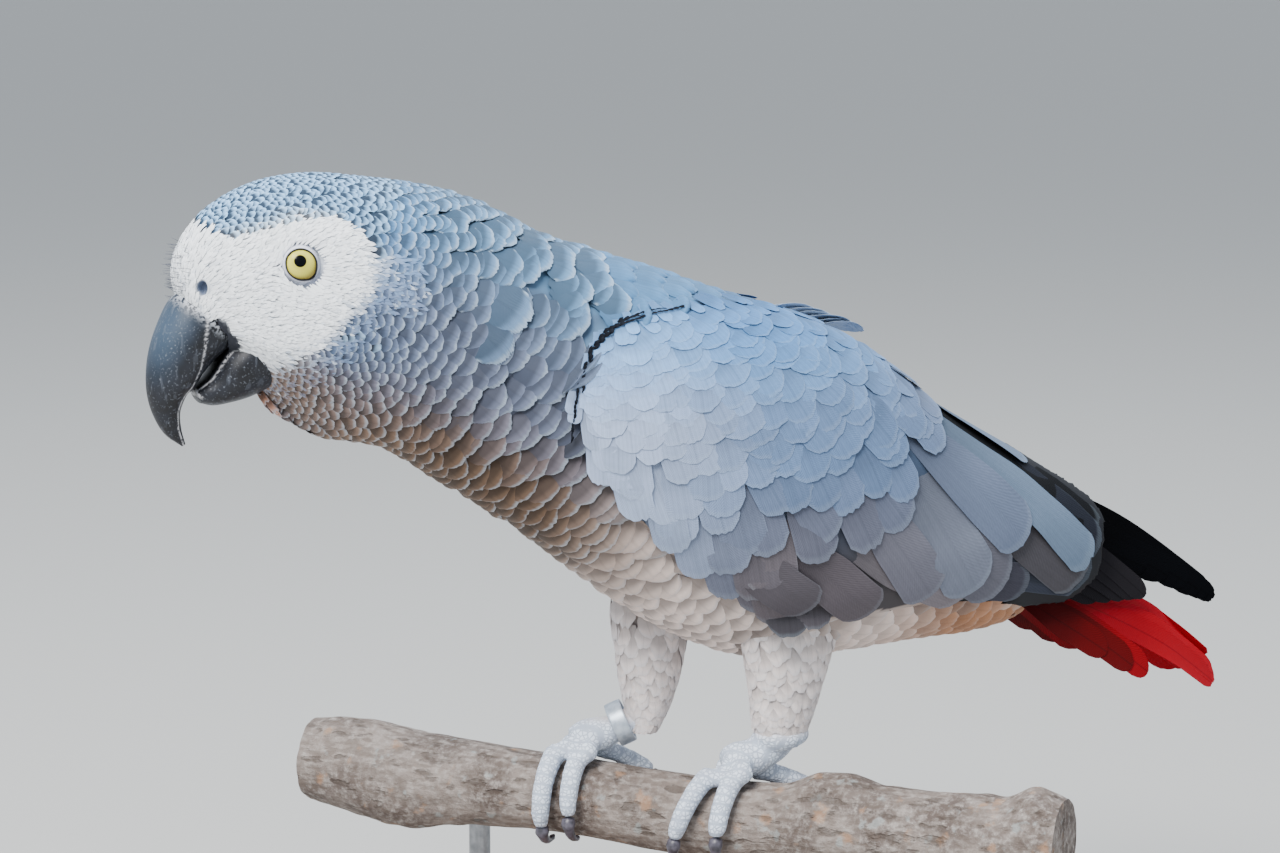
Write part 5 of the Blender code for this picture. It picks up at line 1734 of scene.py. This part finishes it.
# ------------------------------------------------------------------ studio
def build_studio():
    """A pale floor, soft lights and the camera."""
    mesh = bpy.data.meshes.new("floor")
    corners = [(x * FLOOR_HALF, y * FLOOR_HALF, 0) for x, y in ((-1, -1), (1, -1), (1, 1), (-1, 1))]
    mesh.from_pydata(corners, [], [(0, 1, 2, 3)])
    floor = bpy.data.objects.new("floor", mesh)
    bpy.context.scene.collection.objects.link(floor)
    mesh.materials.append(Look("floor").put(Base_Color=srgb(180, 179, 176), Roughness=0.9))
    world = bpy.data.worlds.new("studio")
    world.use_nodes = True
    world.node_tree.nodes["Background"].inputs["Color"].default_value = (0.82, 0.90, 1.0, 1)
    world.node_tree.nodes["Background"].inputs["Strength"].default_value = 1.0
    bpy.context.scene.world = world
    for name, place, size, power, colour in LAMPS:
        light = bpy.data.lights.new(name, "AREA")
        light.shape, light.size, light.energy, light.color = "SQUARE", size, power, colour
        lamp = bpy.data.objects.new(name, light)
        lamp.location = place
        lamp.rotation_mode = "QUATERNION"
        lamp.rotation_quaternion = (Vector(LAMP_AIM) - Vector(place)).to_track_quat("-Z", "Y")
        bpy.context.scene.collection.objects.link(lamp)
    camera = bpy.data.cameras.new("camera")
    camera.lens, camera.sensor_width = 90.0, 36.0
    level = math.cos(CAMERA_RISE)
    back = Vector((math.sin(CAMERA_TURN) * level, -math.cos(CAMERA_TURN) * level, math.sin(CAMERA_RISE)))
    seat = bpy.data.objects.new("camera", camera)
    seat.location = Vector(CAMERA_AIM) + back * CAMERA_DISTANCE
    seat.rotation_mode = "QUATERNION"
    seat.rotation_quaternion = (-back).to_track_quat("-Z", "Y")
    bpy.context.scene.collection.objects.link(seat)
    bpy.context.scene.camera = seat


def main():
    feathers = plumage_look("plumage", rim=0.88, root=0.72, rim_width=0.19, lit=(0.58, 0.90))
    breast = plumage_look("breast_plumage", rim=0.45, root=0.58, rim_width=0.22, lit=(0.50, 0.86))
    head = plumage_look("head_plumage", rim=0.95, root=0.90, barbs=0.0, streak=0.0, shaft=0.0,
                        rim_width=0.38, teeth_across=8.0, lit=(0.66, 1.0), edge_card=(186, 226, 255))
    face = plumage_look("face_plumes", rim=0.0, root=0.06, barbs=0.0, streak=0.0, shaft=0.0)
    wing = plumage_look("wing", rim=0.13, root=0.30, barbs=0.03, streak=0.08, rim_width=0.10,
                        side_rim=0.4, streaks=0.08)
    rear = plumage_look("rear_wing", rim=0.10, root=0.35, barbs=0.03, streak=0.04, shaft=0.06,
                        rim_width=0.05, side_rim=0.5, lit=(0.2, 0.7), streaks=0.05, sheen=0.0, gloss=0.12)
    dark = plumage_look("primaries", rim=0.0, root=0.2, barbs=0.04, streak=0.3, shaft=0.3, sheen=0.0,
                        gloss=0.04)
    red = plumage_look("tail_feathers", rim=0.0, root=0.3, barbs=0.04, streak=0.25, shaft=0.3, sheen=0.0,
                       gloss=0.08)
    cream = plumage_look("thigh", rim=0.3, root=0.30, rim_width=0.25)
    build_skin(skin_look())
    build_body_coat(feathers, head, face, wing, breast, cream)
    for name, side in SIDES:
        build_wing(side, "wing_" + name, wing, rear)
    build_loose_feathers(feathers, wing)
    build_primaries(dark)
    build_tail(red)
    build_thighs(cream)
    build_bill(bill_look())
    build_eyes(eye_look())
    build_claws(plain_look("claw", srgb(52, 50, 58), srgb(96, 92, 104), 0.4, 2.0, 0.05))
    build_branch(bark_look())
    ring = plain_look("ring_metal", srgb(160, 172, 186), srgb(198, 208, 220), 0.42, 2.5, 0.02, 0.6)
    rods = plain_look("rod_metal", srgb(120, 122, 126), srgb(160, 162, 166), 0.3, 4.0, 0.02, 1.0)
    wood = wood_look()
    build_ring(ring)
    for name, look in (("stand_base", wood), ("stand_rod_1", rods), ("stand_rod_2", rods)):
        NODES[name].data.materials.clear()
        NODES[name].data.materials.append(look)
    build_studio()


main()
